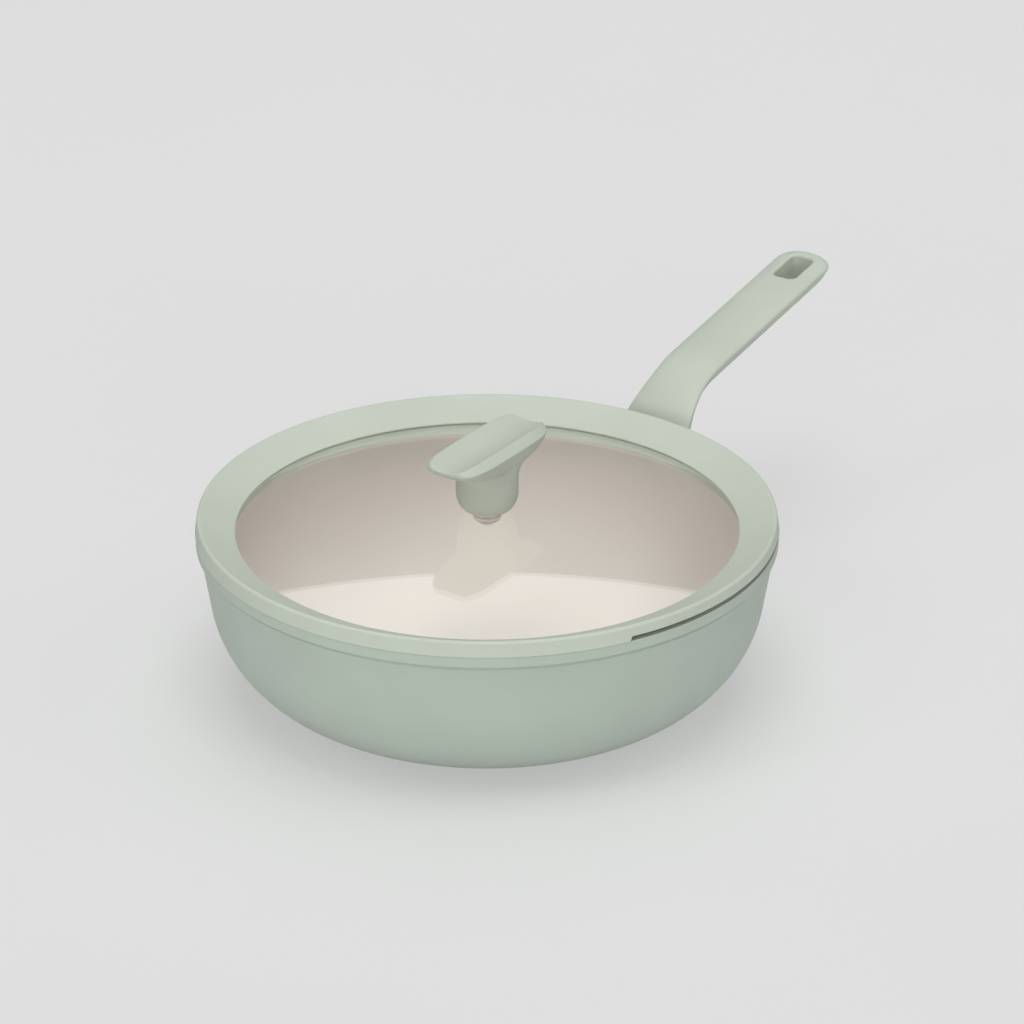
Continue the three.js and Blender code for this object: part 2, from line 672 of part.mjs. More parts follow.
function inFrame(geometry, frame) {
  return geometry.applyMatrix4(frame.matrixWorld);
}

// A flat plate with rounded corners that faces along X, grown on all sides by a clearance.
function roundedPlate(lowX, highX, clearance) {
  const [length, width] = [PLATE_W + 2 * clearance, PLATE_H + 2 * clearance];
  const plate = extrude(roundedSlot(length, width, PLATE_CORNER_R + clearance), highX - lowX, HOLE_STEPS);
  const turn = new THREE.Matrix4().makeBasis(
    new THREE.Vector3(0, 1, 0), new THREE.Vector3(0, 0, 1), new THREE.Vector3(1, 0, 0));
  return plate.applyMatrix4(turn).translate(lowX, 0, 0);
}

// Pressed steel plate on the studs, with a tongue that runs up inside the neck of the handle.
function handleBracket() {
  const plate = roundedPlate(PLATE_IN_X, PLATE_OUT_X, 0);
  const holes = [-1, 1].map((side) => inFrame(studHole(side * STUD_SPACING / 2), wallFrame));
  const rooted = TONGUE_L + PLATE_T / 2;
  const tongue = box(rooted, TONGUE_W, TONGUE_T, TONGUE_L - rooted / 2, 0, 0);
  const screwHole = rod(HANDLE_SCREW_R + SCREW_CLEARANCE, -TONGUE_T, TONGUE_T);
  screwHole.translate(HANDLE_SCREW_AT, 0, 0);
  const blank = join([inFrame(plate, wallFrame), inFrame(tongue, neckFrame)]);
  return subtract(blank, [...holes, inFrame(screwHole, neckFrame)]);
}

// Everything that the handle's root has to clear: the wall and the bead of the pan.
function panKeepOut() {
  const highZ = RIM_TOP_Z + RING_H;
  return revolve([
    [0, BASE_LOW_Z - ROOT_GAP],
    ...outerWall(ROOT_GAP),
    [RIM_R + ROOT_GAP, BEAD_LOW_Z],
    [RIM_R + ROOT_GAP, highZ],
    [0, highZ],
  ], ROUND_STEPS);
}

// Slot through the grip with a bevel round its upper edge.
function hangingHole() {
  const ring = (z, grown) => {
    const slot = roundedSlot(HANG_L + 2 * grown, HANG_W + 2 * grown, HANG_CORNER_R + grown);
    return slot.getPoints(HOLE_STEPS).map((p) => new THREE.Vector3(p.x, p.y, z));
  };
  const cut = loft([
    ring(-GRIP_BELLY - CUT_OVERRUN, 0),
    ring(CROWN_H - HANG_BEVEL, 0),
    ring(CROWN_H + CUT_OVERRUN, HANG_BEVEL + CUT_OVERRUN),
  ]);
  const { point, rise } = spineAt(HANDLE_L - HANG_FROM_TIP - HANG_L / 2);
  return cut.rotateY(-rise).translate(point.x, 0, point.z);
}

// The handle, trimmed to the wall, with a pocket for the bracket plate and a socket for its tongue.
function handleGrip() {
  const pocket = roundedPlate(-CUT_OVERRUN, STUD_END_X + POCKET_CLEARANCE, POCKET_CLEARANCE);
  const slack = 2 * SEAT_GAP;
  const socketEnd = TONGUE_L + SEAT_GAP;
  const socketL = socketEnd + PLATE_OUT_X;
  const socket = box(socketL, TONGUE_W + slack, TONGUE_T + slack, socketEnd - socketL / 2, 0, 0);
  const holeR = HANDLE_SCREW_R + SCREW_CLEARANCE;
  const screwHole = rod(holeR, SCREW_SEAT_Z - CUT_OVERRUN, HANDLE_SCREW_TIP_Z + CUT_OVERRUN);
  const counterbore = rod(COUNTERBORE_R, -ROOT_BELLY - CUT_OVERRUN, SCREW_SEAT_Z);
  const inNeck = [screwHole, counterbore].map((cut) => cut.translate(HANDLE_SCREW_AT, 0, 0));
  return subtract(loft(handleStations().map(handleRing)), [
    panKeepOut(),
    inFrame(pocket, wallFrame),
    inFrame(socket, neckFrame),
    ...inNeck.map((cut) => inFrame(cut, neckFrame)),
    hangingHole(),
  ]);
}

function lockWasher() {
  const lowZ = LOCK_WASHER_TOP_Z - LOCK_WASHER_T;
  return washer(HANDLE_SCREW_HEAD_R, HANDLE_SCREW_R + SCREW_CLEARANCE, lowZ, LOCK_WASHER_TOP_Z);
}

function handleScrew() {
  const headTopZ = HANDLE_HEAD_TOP_Z;
  return screw(HANDLE_SCREW_R, HANDLE_SCREW_HEAD_R, HANDLE_SCREW_HEAD_H, headTopZ, HANDLE_SCREW_TIP_Z);
}

const pan = new THREE.Group();
pan.add(piece('pan_body', panBody(), SAGE_PAINT));
pan.add(piece('base_disc', baseDisc(), STEEL));
pan.add(piece('handle_bracket', handleBracket(), STEEL));
pan.add(piece('handle_grip', handleGrip(), SAGE_GRIP));
wallFrame.add(piece('weld_stud_left', weldStud(STUD_SPACING / 2), ALUMINIUM));
wallFrame.add(piece('weld_stud_right', weldStud(-STUD_SPACING / 2), ALUMINIUM));
const screwFrame = new THREE.Group();
screwFrame.position.set(HANDLE_SCREW_AT, 0, 0);
screwFrame.add(piece('handle_lock_washer', lockWasher(), STEEL));
screwFrame.add(piece('handle_screw', handleScrew(), STEEL));
neckFrame.add(screwFrame);
pan.add(wallFrame, neckFrame);

const lid = new THREE.Group();
lid.add(piece('lid_glass', lidGlass(), CLEAR_GLASS));
lid.add(piece('lid_rim', lidRim(), SAGE_SILICONE));
lid.add(piece('knob', knob(), SAGE_GRIP));
lid.add(piece('knob_insert', knobInsert(), BRASS));
lid.add(piece('knob_gasket', knobGasket(), RUBBER));
lid.add(piece('lid_grommet', lidGrommet(), RUBBER));
lid.add(piece('lid_washer', lidWasher(), STEEL));
lid.add(piece('lid_screw', lidScrew(), STEEL));

const wok = new THREE.Group();
wok.add(pan, lid);

export default wok;
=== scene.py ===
"""Looks of the wok with lid: pieces, finishes, studio and camera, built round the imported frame."""

import math

import bmesh
import bpy
import numpy as np
from mathutils import Matrix, Vector


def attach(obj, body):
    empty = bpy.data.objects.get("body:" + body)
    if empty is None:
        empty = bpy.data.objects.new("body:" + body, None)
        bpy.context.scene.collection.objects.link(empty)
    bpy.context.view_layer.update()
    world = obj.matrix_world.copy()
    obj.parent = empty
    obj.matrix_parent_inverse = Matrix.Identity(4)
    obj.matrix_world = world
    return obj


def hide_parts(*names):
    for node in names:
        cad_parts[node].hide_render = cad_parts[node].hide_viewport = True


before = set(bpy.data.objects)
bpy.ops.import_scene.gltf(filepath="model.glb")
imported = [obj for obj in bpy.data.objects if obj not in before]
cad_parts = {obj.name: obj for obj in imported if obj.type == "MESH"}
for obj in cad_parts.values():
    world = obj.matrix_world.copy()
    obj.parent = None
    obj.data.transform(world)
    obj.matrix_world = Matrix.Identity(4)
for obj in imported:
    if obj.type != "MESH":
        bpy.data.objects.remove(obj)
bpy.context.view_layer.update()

# All sizes down to the view are in millimetres and become metres when a mesh is made
MM = 0.001
SEAT_GAP = 0.3
TOUCH_GAP = 0.06
SCREW_CLEARANCE = 0.3
OVERRUN = 2.0

# Pan
MOUTH_R = 140.0
RIM_TOP_Z = 86.0
RIM_W = 4.0
RIM_BEAD_H = 5.4
RIM_OVERHANG = 2.0
RIM_FILLET = 1.2
BEAD_EDGE_R = 0.45
BEAD_CREASE_R = 0.2
BEAD_GROOVE_H = 2.3
BEAD_GROOVE_D = 0.6
BEAD_GROOVE_R = 0.5
WALL_LEAN = math.radians(8.83)
BASE_T = 4.0
CORNER_R = 59.0
RECESS_CORNER_R = 0.2
RECESS_EDGE_R = 0.3

# Steel disc in the base
DISC_MARGIN = 13.0
DISC_T = 1.2
DISC_PROUD = 0.4
GROOVE_FIRST_R = 20.0
GROOVE_PITCH = 14.0
GROOVE_COUNT = 3
GROOVE_W = 3.0
GROOVE_DEPTH = 0.4
GROOVE_EDGE_R = 0.4
GROOVE_ROOT_R = 1.2
DISC_EDGE_R = 0.35
DISC_TOP_EDGE_R = 0.2

# Glass
GLASS_INSET = 8.0
GLASS_T = 4.0
GLASS_RISE = 9.5
GLASS_HOLE_R = 5.0
GLASS_EDGE_R = 1.0

# Silicone rim of the lid
LIP_COVER = 7.4
LIP_T = 0.8
RING_OVERHANG = 0.3
RING_H = 7.4
RING_DRAFT = 0.9
CREST_R = 1.5
INNER_LIP_COVER = 6.0
INNER_LIP_W = 3.0
PLUG_CLEARANCE = 1.0
PLUG_WALL = 2.4
RELIEF_WEB = 2.0
RELIEF_DEPTH = 1.3
RELIEF_DRAFT = 0.6
POUR_SLOT_H = 2.2
POUR_SLOT_HALF_ANGLE = 27.4
POUR_SLOT_MID_ANGLE = -90.0
POUR_SLOT_END = 0.25
POUR_SLOT_END_ROOM = 1.3
LIP_EDGE_R = 0.3
LIP_TOUCH_R = 0.1
MOULD_EDGE_R = 0.4
PLUG_EDGE_R = 0.6
SEAM_IN_R = 0.25
SEAM_OUT_R = 0.2

# Knob
KNOB_H = 36.8
KNOB_HALF_L = 37.4
KNOB_HALF_W = 16.4
STEM_R = 15.5
FOOT_R = 8.8
FOOT_ROUND_H = 10.0
FILLET_W = 5.0
FILLET_H = 9.0
HULL_H = 9.0
LAND_H = 3.5
LAND_W = 4.6
TROUGH_DEPTH = 3.2
TROUGH_BITE = 0.2
WING_FULLNESS = 4.2
WING_SQUARE_BY = 8.0
INSERT_R = 4.2
INSERT_L = 14.0
TOP_GASKET_T = 0.7
KNOB_VOXEL = 0.3

# Screws and washers
LID_SCREW_R = 2.3
LID_HEAD_R = 4.4
LID_HEAD_H = 2.2
SCREW_GRIP = 11.0
GROMMET_R = 7.0
GROMMET_FLANGE_T = 1.0
WASHER_R = 6.2
WASHER_T = 1.0
HANDLE_SCREW_R = 2.3
HANDLE_HEAD_R = 4.2
HANDLE_HEAD_H = 2.2
HANDLE_SCREW_AT = 18.0
SCREW_FLOOR = 2.0
LOCK_WASHER_T = 0.8
COUNTERBORE_R = 4.8
CROSS_W = 0.9
THREAD_PITCH = 0.8
THREAD_DEPTH = 0.35
WASHER_BORE_EDGE_R = 0.15
WASHER_EDGE_R = 0.3
SHANK_EDGE_R = 0.15
SHANK_TIP_EDGE_R = 0.2
HEAD_CROWN_R = 1.2
HEAD_SIDE_R = 0.7
HEAD_SEAT_R = 0.25

# Shares of a screw's head and shank
HEAD_CROWN_SHARE = 0.55
HEAD_SIDE_SHARE = 0.45
RECESS_FLOOR_SHARE = 0.4
RECESS_REACH_SHARE = 0.5
SHANK_TIP_SHARE = 0.6

# Handle
ROOT_DROP = 15.0
NECK_RISE = math.radians(47.0)
GRIP_RISE = math.radians(9.5)
BEND_R = 63.6
NECK_L = 22.4
GRIP_L = 112.5
ROOT_W = 42.0
GRIP_W = 31.2
FLARE_L = 50.0
CROWN_H = 2.0
EDGE_DROP = 1.3
ROOT_BELLY = 16.0
GRIP_BELLY = 16.0
CROWN_FULLNESS = 2.2
ROOT_KEEL = 0.95
GRIP_KEEL = 2.0
TIP_L = 12.0
TIP_FULLNESS = 2.8
TIP_BLUNT = 0.36
ROOT_GAP = 0.4
ROOT_RUN_IN = 32.0
ROOT_SWELL = 6.0
HANG_L = 22.4
HANG_W = 13.2
HANG_CORNER_R = 3.6
HANG_FROM_TIP = 5.8
HANG_BEVEL = 1.1
HANDLE_VOXEL = 0.45

# Bracket in the handle's root
BRACKET_DROP = 9.5
PLATE_W = 29.0
PLATE_H = 14.0
PLATE_CORNER_R = 6.0
PLATE_T = 2.5
TONGUE_W = 9.0
TONGUE_T = 4.0
TONGUE_L = 31.0
STUD_FLANGE_T = 1.4
STUD_HEAD_T = 1.4
POCKET_CLEARANCE = 0.6

# Facets
ROUND_STEPS = 288
SMALL_STEPS = 48
CORNER_STEPS = 40
GLASS_STEPS = 60
CREST_STEPS = 12
SLOT_END_COUNT = 15
KNOB_STEPS = 160
FOOT_ROWS = 17
FILLET_ROWS = 14
HULL_ROWS = 25
TROUGH_STEPS = 180
INSERT_SIDES = 6
HANDLE_STEPS = 96
HANDLE_RING_STEP = 1.5
TIP_RINGS = 22
KEEP_OUT_STEPS = 30
COVE_STEPS = 16

# Limits and shares used by the helpers
ON_AXIS_R = 1e-6
SIDE_SHARE = 0.48
FLAT_FACE_WEIGHT = 60
SOFTEN_FACTOR = 0.5
KNOB_SOFTENING = 4
HANDLE_SOFTENING = 5

# Levels and radii that follow from the sizes above
RIM_R = MOUTH_R + RIM_W
BEAD_LOW_Z = RIM_TOP_Z - RIM_BEAD_H
WALL_TOP_R = RIM_R - RIM_OVERHANG
BASE_LOW_Z = DISC_PROUD
CORNER_Z = BASE_LOW_Z + CORNER_R
WALL_FOOT_Z = CORNER_Z - CORNER_R * math.sin(WALL_LEAN)
WALL_FOOT_R = WALL_TOP_R - (BEAD_LOW_Z - WALL_FOOT_Z) * math.tan(WALL_LEAN)
BASE_FLAT_R = WALL_FOOT_R - CORNER_R * math.cos(WALL_LEAN)
FLOOR_Z = BASE_LOW_Z + BASE_T
DISC_R = BASE_FLAT_R - DISC_MARGIN
LID_Z = RIM_TOP_Z + SEAT_GAP
RING_R = RIM_R + RING_OVERHANG
GLASS_R = MOUTH_R - GLASS_INSET
LIP_R = GLASS_R - LIP_COVER
INNER_LIP_R = GLASS_R - INNER_LIP_COVER
LIP_Z = RIM_TOP_Z
GLASS_LIP_Z = LIP_Z - LIP_T
GLASS_SPHERE_R = (LIP_R ** 2 + GLASS_RISE ** 2) / (2 * GLASS_RISE)
GLASS_TOP_Z = GLASS_LIP_Z + GLASS_RISE
KNOB_Z = GLASS_TOP_Z + SEAT_GAP + TOP_GASKET_T + SEAT_GAP
WING_H = KNOB_H - LAND_H
HULL_START = math.asin((STEM_R + FILLET_W) / KNOB_HALF_L)
FILLET_TOP_H = WING_H - HULL_H * math.cos(HULL_START)
TROUGH_HALF_W = KNOB_HALF_W - LAND_W + TROUGH_BITE
INSERT_TOP_Z = KNOB_Z + SEAT_GAP + INSERT_L
ROOT_Z = RIM_TOP_Z - ROOT_DROP
BEND_L = BEND_R * (NECK_RISE - GRIP_RISE)
HANDLE_L = NECK_L + BEND_L + GRIP_L
BRACKET_Z = ROOT_Z - BRACKET_DROP
PLATE_OUT_X = SEAT_GAP + STUD_FLANGE_T + SEAT_GAP + PLATE_T
STUD_END_X = PLATE_OUT_X + SEAT_GAP + STUD_HEAD_T
SCREW_SEAT_Z = -TONGUE_T / 2 - SEAT_GAP - SCREW_FLOOR
HANDLE_HEAD_TOP_Z = SCREW_SEAT_Z - SEAT_GAP - LOCK_WASHER_T - SEAT_GAP
HANDLE_TIP_Z = TONGUE_T / 2 + SEAT_GAP

# View of the photograph: the camera stands off the handle's line by this turn, tilted down, in metres
VIEW_TURN = math.radians(34.0)
VIEW_TILT = math.radians(25.3919)
CAMERA_AT = Vector((-2.2109009, -1.5060356, 1.3637589))
LENS_MM = 210.94
SENSOR_MM = 36.0


def lerp(a, b, t):
    return a + (b - a) * t


def smoothstep(x, low, high):
    t = min(max((x - low) / (high - low), 0.0), 1.0)
    return t * t * (3 - 2 * t)


def arc(centre_r, centre_z, radius, start, end, steps):
    angles = np.linspace(start, end, steps + 1)
    return [(centre_r + radius * math.cos(a), centre_z + radius * math.sin(a)) for a in angles]


def oval(value, fullness):
    """One coordinate of a rounded oval: fullness 2 is an ellipse, larger is squarer."""
    return math.copysign(abs(value) ** (2 / fullness), value)


def eased(corners, closed=False, steps=5):
    """A path through (r, z, radius) corners, each rounded by its radius as far as its sides have room."""
    path = []
    count = len(corners)
    for i, (r, z, radius) in enumerate(corners):
        is_end = not closed and i in (0, count - 1)
        if radius == 0 or is_end:
            path.append((r, z))
            continue
        here = np.array((r, z))
        back = np.array(corners[i - 1][:2]) - here
        ahead = np.array(corners[(i + 1) % count][:2]) - here
        back_l, ahead_l = np.linalg.norm(back), np.linalg.norm(ahead)
        back, ahead = back / back_l, ahead / ahead_l
        half = math.acos(float(np.clip(back @ ahead, -1, 1))) / 2
        reach = min(radius / math.tan(half), SIDE_SHARE * back_l, SIDE_SHARE * ahead_l)
        for t in np.linspace(0, 1, steps + 1):
            point = here + back * reach * (1 - t) ** 2 + ahead * reach * t ** 2
            path.append(tuple(point))
    return path


def lathe(profile, steps=ROUND_STEPS, closed=False):
    """Turns (r, z) points round Z and tells which stretch of the profile each face comes from."""
    verts, faces, bands, rings = [], [], [], []
    for r, z in profile:
        if r < ON_AXIS_R:
            rings.append([len(verts)] * steps)
            verts.append((0.0, 0.0, z))
            continue
        rings.append(list(range(len(verts), len(verts) + steps)))
        for k in range(steps):
            a = 2 * math.pi * k / steps
            verts.append((r * math.cos(a), r * math.sin(a), z))
    pairs = list(zip(rings, rings[1:]))
    if closed:
        pairs.append((rings[-1], rings[0]))
    for band, (low, high) in enumerate(pairs):
        for k in range(steps):
            n = (k + 1) % steps
            corners = list(dict.fromkeys((low[k], low[n], high[n], high[k])))
            if len(corners) > 2:
                faces.append(corners)
                bands.append(band)
    return verts, faces, bands


def loft(rings):
    """A closed skin over rings of equal point count, with a fan over each end."""
    count = len(rings[0])
    verts = [tuple(p) for ring in rings for p in ring]
    faces = []
    for i in range(len(rings) - 1):
        for k in range(count):
            n = (k + 1) % count
            faces.append((i * count + k, i * count + n, (i + 1) * count + n, (i + 1) * count + k))
    for first, ring in ((0, rings[0]), ((len(rings) - 1) * count, rings[-1])):
        verts.append(tuple(np.mean(np.array(ring), axis=0)))
        for k in range(count):
            faces.append((len(verts) - 1, first + k, first + (k + 1) % count))
    return verts, faces


def prism(outline, low, high):
    """A bar along Z over a flat outline."""
    count = len(outline)
    verts = [(x, y, low) for x, y in outline] + [(x, y, high) for x, y in outline]
    faces = [tuple(range(count)), tuple(range(count, 2 * count))]
    for k in range(count):
        n = (k + 1) % count
        faces.append((k, n, count + n, count + k))
    return verts, faces


def round_outline(radius, steps=SMALL_STEPS):
    return [(radius * math.cos(a), radius * math.sin(a)) for a in np.arange(steps) * 2 * math.pi / steps]


def slot_outline(length, width, corner_r, steps=10):
    """A rectangle with round corners, in the XY plane."""
    outline = []
    for turn, (sx, sy) in enumerate(((1, 1), (-1, 1), (-1, -1), (1, -1))):
        start = turn * math.pi / 2
        centre = (sx * (length / 2 - corner_r), sy * (width / 2 - corner_r))
        outline += arc(*centre, corner_r, start, start + math.pi / 2, steps)
    return outline


def new_object(name, verts, faces, place=None):
    """A mesh object from points in millimetres, with its faces turned outwards."""
    mesh = bpy.data.meshes.new(name)
    points = [Vector(v) for v in verts]
    if place is not None:
        points = [place @ p for p in points]
    mesh.from_pydata([p * MM for p in points], [], faces)
    shape = bmesh.new()
    shape.from_mesh(mesh)
    bmesh.ops.recalc_face_normals(shape, faces=shape.faces)
    shape.to_mesh(mesh)
    shape.free()
    obj = bpy.data.objects.new(name, mesh)
    bpy.context.scene.collection.objects.link(obj)
    return obj


def dress(obj, body, materials, nodes=(), face_slots=None, flat_weight=True):
    """Gives a piece its finishes and smooth shading, and ties it to the frame."""
    mesh = obj.data
    mesh.materials.clear()
    for material in materials:
        mesh.materials.append(material)
    if face_slots is not None:
        mesh.polygons.foreach_set("material_index", face_slots)
    mesh.polygons.foreach_set("use_smooth", [True] * len(mesh.polygons))
    mesh.update()
    if flat_weight:
        obj.modifiers.new("flat_faces_first", "WEIGHTED_NORMAL").weight = FLAT_FACE_WEIGHT
    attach(obj, body)
    if nodes:
        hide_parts(*nodes)
    return obj


def carve(obj, cutters, voxel=None, smoothing=0):
    """Cuts the cutters out of a piece, then melts its edges a little as a mould does."""
    for cutter in cutters:
        cut = obj.modifiers.new("cut", "BOOLEAN")
        cut.operation = "DIFFERENCE"
        cut.solver = "EXACT"
        cut.object = cutter
    if voxel:
        melt = obj.modifiers.new("melt", "REMESH")
        melt.mode = "VOXEL"
        melt.voxel_size = voxel * MM
    if smoothing:
        soften = obj.modifiers.new("soften", "SMOOTH")
        soften.factor = SOFTEN_FACTOR
        soften.iterations = smoothing
    bpy.context.view_layer.update()
    ready = obj.evaluated_get(bpy.context.evaluated_depsgraph_get())
    mesh = bpy.data.meshes.new_from_object(ready)
    obj.modifiers.clear()
    old = obj.data
    obj.data = mesh
    mesh.name = obj.name
    bpy.data.meshes.remove(old)
    for cutter in cutters:
        bpy.data.meshes.remove(cutter.data)
    return obj


# Finishes

def linear(red, green, blue):
    """An sRGB colour of 0 to 255 as the linear colour that shaders take."""
    def channel(value):
        value = value / 255
        return value / 12.92 if value <= 0.04045 else ((value + 0.055) / 1.055) ** 2.4
    return (channel(red), channel(green), channel(blue), 1.0)


class Finish:
    """A material with one main shader, and short ways to drive it from patterns in the surface."""

    def __init__(self, name, **sockets):
        self.material = bpy.data.materials.new(name)
        self.material.use_nodes = True
        self.tree = self.material.node_tree
        self.shader = self.tree.nodes["Principled BSDF"]
        for socket, value in sockets.items():
            self.shader.inputs[socket.replace("_", " ")].default_value = value
        self.place = self.node("ShaderNodeTexCoord").outputs["Object"]
        self.normal = None

    def node(self, kind, **values):
        made = self.tree.nodes.new(kind)
        for key, value in values.items():
            setattr(made, key, value)
        return made

    def link(self, output, target):
        self.tree.links.new(output, target)

    def noise(self, scale, detail=2.0, roughness=0.5, at=None):
        made = self.node("ShaderNodeTexNoise")
        made.inputs["Scale"].default_value = scale
        made.inputs["Detail"].default_value = detail
        made.inputs["Roughness"].default_value = roughness
        self.link(at or self.place, made.inputs["Vector"])
        return made.outputs["Fac"]

    def around(self, stretch):
        """Coordinates stretched round the Z axis, for marks left by turning or brushing in rings."""
        split = self.node("ShaderNodeSeparateXYZ")
        self.link(self.place, split.inputs["Vector"])
        flat = self.node("ShaderNodeCombineXYZ")
        self.link(split.outputs["X"], flat.inputs["X"])
        self.link(split.outputs["Y"], flat.inputs["Y"])
        length = self.node("ShaderNodeVectorMath", operation="LENGTH")
        self.link(flat.outputs["Vector"], length.inputs[0])
        angle = self.node("ShaderNodeMath", operation="ARCTAN2")
        self.link(split.outputs["Y"], angle.inputs[0])
        self.link(split.outputs["X"], angle.inputs[1])
        turned = self.node("ShaderNodeMath", operation="MULTIPLY")
        self.link(angle.outputs[0], turned.inputs[0])
        turned.inputs[1].default_value = stretch
        ring = self.node("ShaderNodeCombineXYZ")
        self.link(length.outputs["Value"], ring.inputs["X"])
        self.link(turned.outputs[0], ring.inputs["Y"])
        self.link(split.outputs["Z"], ring.inputs["Z"])
        return ring.outputs["Vector"]

    def colour(self, pattern, *stops):
        ramp = self.node("ShaderNodeValToRGB")
        while len(ramp.color_ramp.elements) < len(stops):
            ramp.color_ramp.elements.new(0.5)
        for element, (position, value) in zip(ramp.color_ramp.elements, stops):
            element.position = position
            element.color = value
        self.link(pattern, ramp.inputs["Fac"])
        self.link(ramp.outputs["Color"], self.shader.inputs["Base Color"])
        return self

    def gloss(self, pattern, low, high, start=0.3, end=0.7):
        span = self.node("ShaderNodeMapRange")
        span.inputs["From Min"].default_value = start
        span.inputs["From Max"].default_value = end
        span.inputs["To Min"].default_value = low
        span.inputs["To Max"].default_value = high
        self.link(pattern, span.inputs["Value"])
        self.link(span.outputs["Result"], self.shader.inputs["Roughness"])
        return self

    def relief(self, pattern, depth_mm, strength=1.0):
        bump = self.node("ShaderNodeBump")
        bump.inputs["Distance"].default_value = depth_mm * MM
        bump.inputs["Strength"].default_value = strength
        self.link(pattern, bump.inputs["Height"])
        if self.normal is not None:
            self.link(self.normal, bump.inputs["Normal"])
        self.normal = bump.outputs["Normal"]
        self.link(self.normal, self.shader.inputs["Normal"])
        return self


def shade(colour, factor):
    return tuple(c * factor for c in colour[:3]) + (1.0,)


# Patterns: noise scales in cycles per metre, depths in millimetres
CLOUD_SCALE = 26
UNEVEN_GLOSS_SCALE = 160
GLOSS_SPREAD = 0.05
WAVE_SCALE = 55
WAVE_MM = 0.02
RING_STRETCH = 0.004
RING_MARK_SCALE = 2600
PLAIN_MARK_SCALE = 900
STEEL_GLOSS_SHARE = 0.7
STEEL_GLOSS_SPREAD = 0.09
STEEL_MARK_MM = 0.012
SPECKLE_SCALE = 1100
CERAMIC_GLOSS_SCALE = 220
CERAMIC_GRAIN_SCALE = 420
CERAMIC_GRAIN_MM = 0.02
GLASS_TINT_SCALE = 12
GLASS_RIPPLE_SCALE = 9
GLASS_RIPPLE_MM = 0.02
PAPER_TINT_SCALE = 4
PAPER_GLOSS_SCALE = 60


def sage_finish(name, colour, rough, grain_scale, grain_mm, **sockets):
    """A matt sage coating: faint cloudiness, uneven gloss and a fine grain."""
    made = Finish(name, **sockets)
    cloud = made.noise(CLOUD_SCALE, detail=3)
    made.colour(cloud, (0.3, shade(colour, 0.97)), (0.7, shade(colour, 1.025)))
    uneven = made.noise(UNEVEN_GLOSS_SCALE, detail=4, roughness=0.6)
    made.gloss(uneven, rough - GLOSS_SPREAD, rough + GLOSS_SPREAD)
    made.relief(made.noise(grain_scale, detail=3, roughness=0.6), grain_mm)
    made.relief(made.noise(WAVE_SCALE), WAVE_MM, strength=0.6)
    return made.material


def steel_finish(name, colour, rough, rings):
    """Steel with fine marks, in rings where it was turned or brushed round."""
    made = Finish(name, Metallic=1.0)
    at = made.around(RING_STRETCH) if rings else made.place
    scale = RING_MARK_SCALE if rings else PLAIN_MARK_SCALE
    marks = made.noise(scale, detail=3, roughness=0.6, at=at)
    made.colour(marks, (0.25, shade(colour, 0.88)), (0.75, shade(colour, 1.06)))
    uneven = made.noise(scale * STEEL_GLOSS_SHARE, detail=3, roughness=0.6, at=at)
    made.gloss(uneven, rough - STEEL_GLOSS_SPREAD, rough + STEEL_GLOSS_SPREAD)
    made.relief(made.noise(scale, roughness=0.6, at=at), STEEL_MARK_MM)
    return made.material


PAINT_COLOUR = linear(177, 188, 177)
SILICONE_COLOUR = linear(189, 197, 184)
GRIP_COLOUR = linear(184, 192, 180)
CERAMIC_COLOUR = linear(234, 224, 217)
SEAL_COLOUR = linear(226, 218, 211)
STEEL_COLOUR = linear(196, 198, 200)
SATIN_COLOUR = linear(228, 224, 219)
ALUMINIUM_COLOUR = linear(205, 206, 207)
BRASS_COLOUR = linear(201, 166, 96)
GLASS_COLOUR = linear(250, 254, 252)

paint = sage_finish("pan_paint", PAINT_COLOUR, rough=0.5, grain_scale=1500, grain_mm=0.012, IOR=1.45)
soft_touch = sage_finish("soft_touch", GRIP_COLOUR, rough=0.55, grain_scale=2600, grain_mm=0.014, IOR=1.45)
silicone = sage_finish("silicone", SILICONE_COLOUR, rough=0.6, grain_scale=1900, grain_mm=0.012, IOR=1.42)
seal = sage_finish("seal_rubber", SEAL_COLOUR, rough=0.65, grain_scale=1700, grain_mm=0.015, IOR=1.42)
steel = steel_finish("steel", STEEL_COLOUR, rough=0.32, rings=True)
satin = steel_finish("satin_steel", SATIN_COLOUR, rough=0.55, rings=True)
aluminium = steel_finish("aluminium", ALUMINIUM_COLOUR, rough=0.4, rings=False)
brass = steel_finish("brass", BRASS_COLOUR, rough=0.34, rings=True)


def ceramic_finish():
    """Cream ceramic coating, sprayed and fired: faint speckles, and a soft gloss that ripples a little."""
    made = Finish("ceramic", IOR=1.5)
    speckle = made.noise(SPECKLE_SCALE, roughness=0.7)
    made.colour(speckle, (0.28, shade(CERAMIC_COLOUR, 0.93)), (0.4, CERAMIC_COLOUR),
                (0.8, shade(CERAMIC_COLOUR, 1.02)))
    made.gloss(made.noise(CERAMIC_GLOSS_SCALE, detail=3, roughness=0.6), low=0.52, high=0.64)
    made.relief(made.noise(CERAMIC_GRAIN_SCALE, detail=3, roughness=0.55), CERAMIC_GRAIN_MM)
    return made.material


def glass_finish():
    """Clear tempered glass with a trace of green and the faint ripple of a pressed dome."""
    made = Finish("lid_glass", Transmission_Weight=1.0, IOR=1.5, Roughness=0.0)
    made.colour(made.noise(GLASS_TINT_SCALE), (0.3, shade(GLASS_COLOUR, 0.985)), (0.7, GLASS_COLOUR))
    made.relief(made.noise(GLASS_RIPPLE_SCALE, detail=1), GLASS_RIPPLE_MM, strength=0.5)
    return made.material


ceramic = ceramic_finish()
clear_glass = glass_finish()


# Pan

def wall_corner(offset, steps):
    return arc(BASE_FLAT_R, CORNER_Z, CORNER_R + offset, -math.pi / 2, -WALL_LEAN, steps)


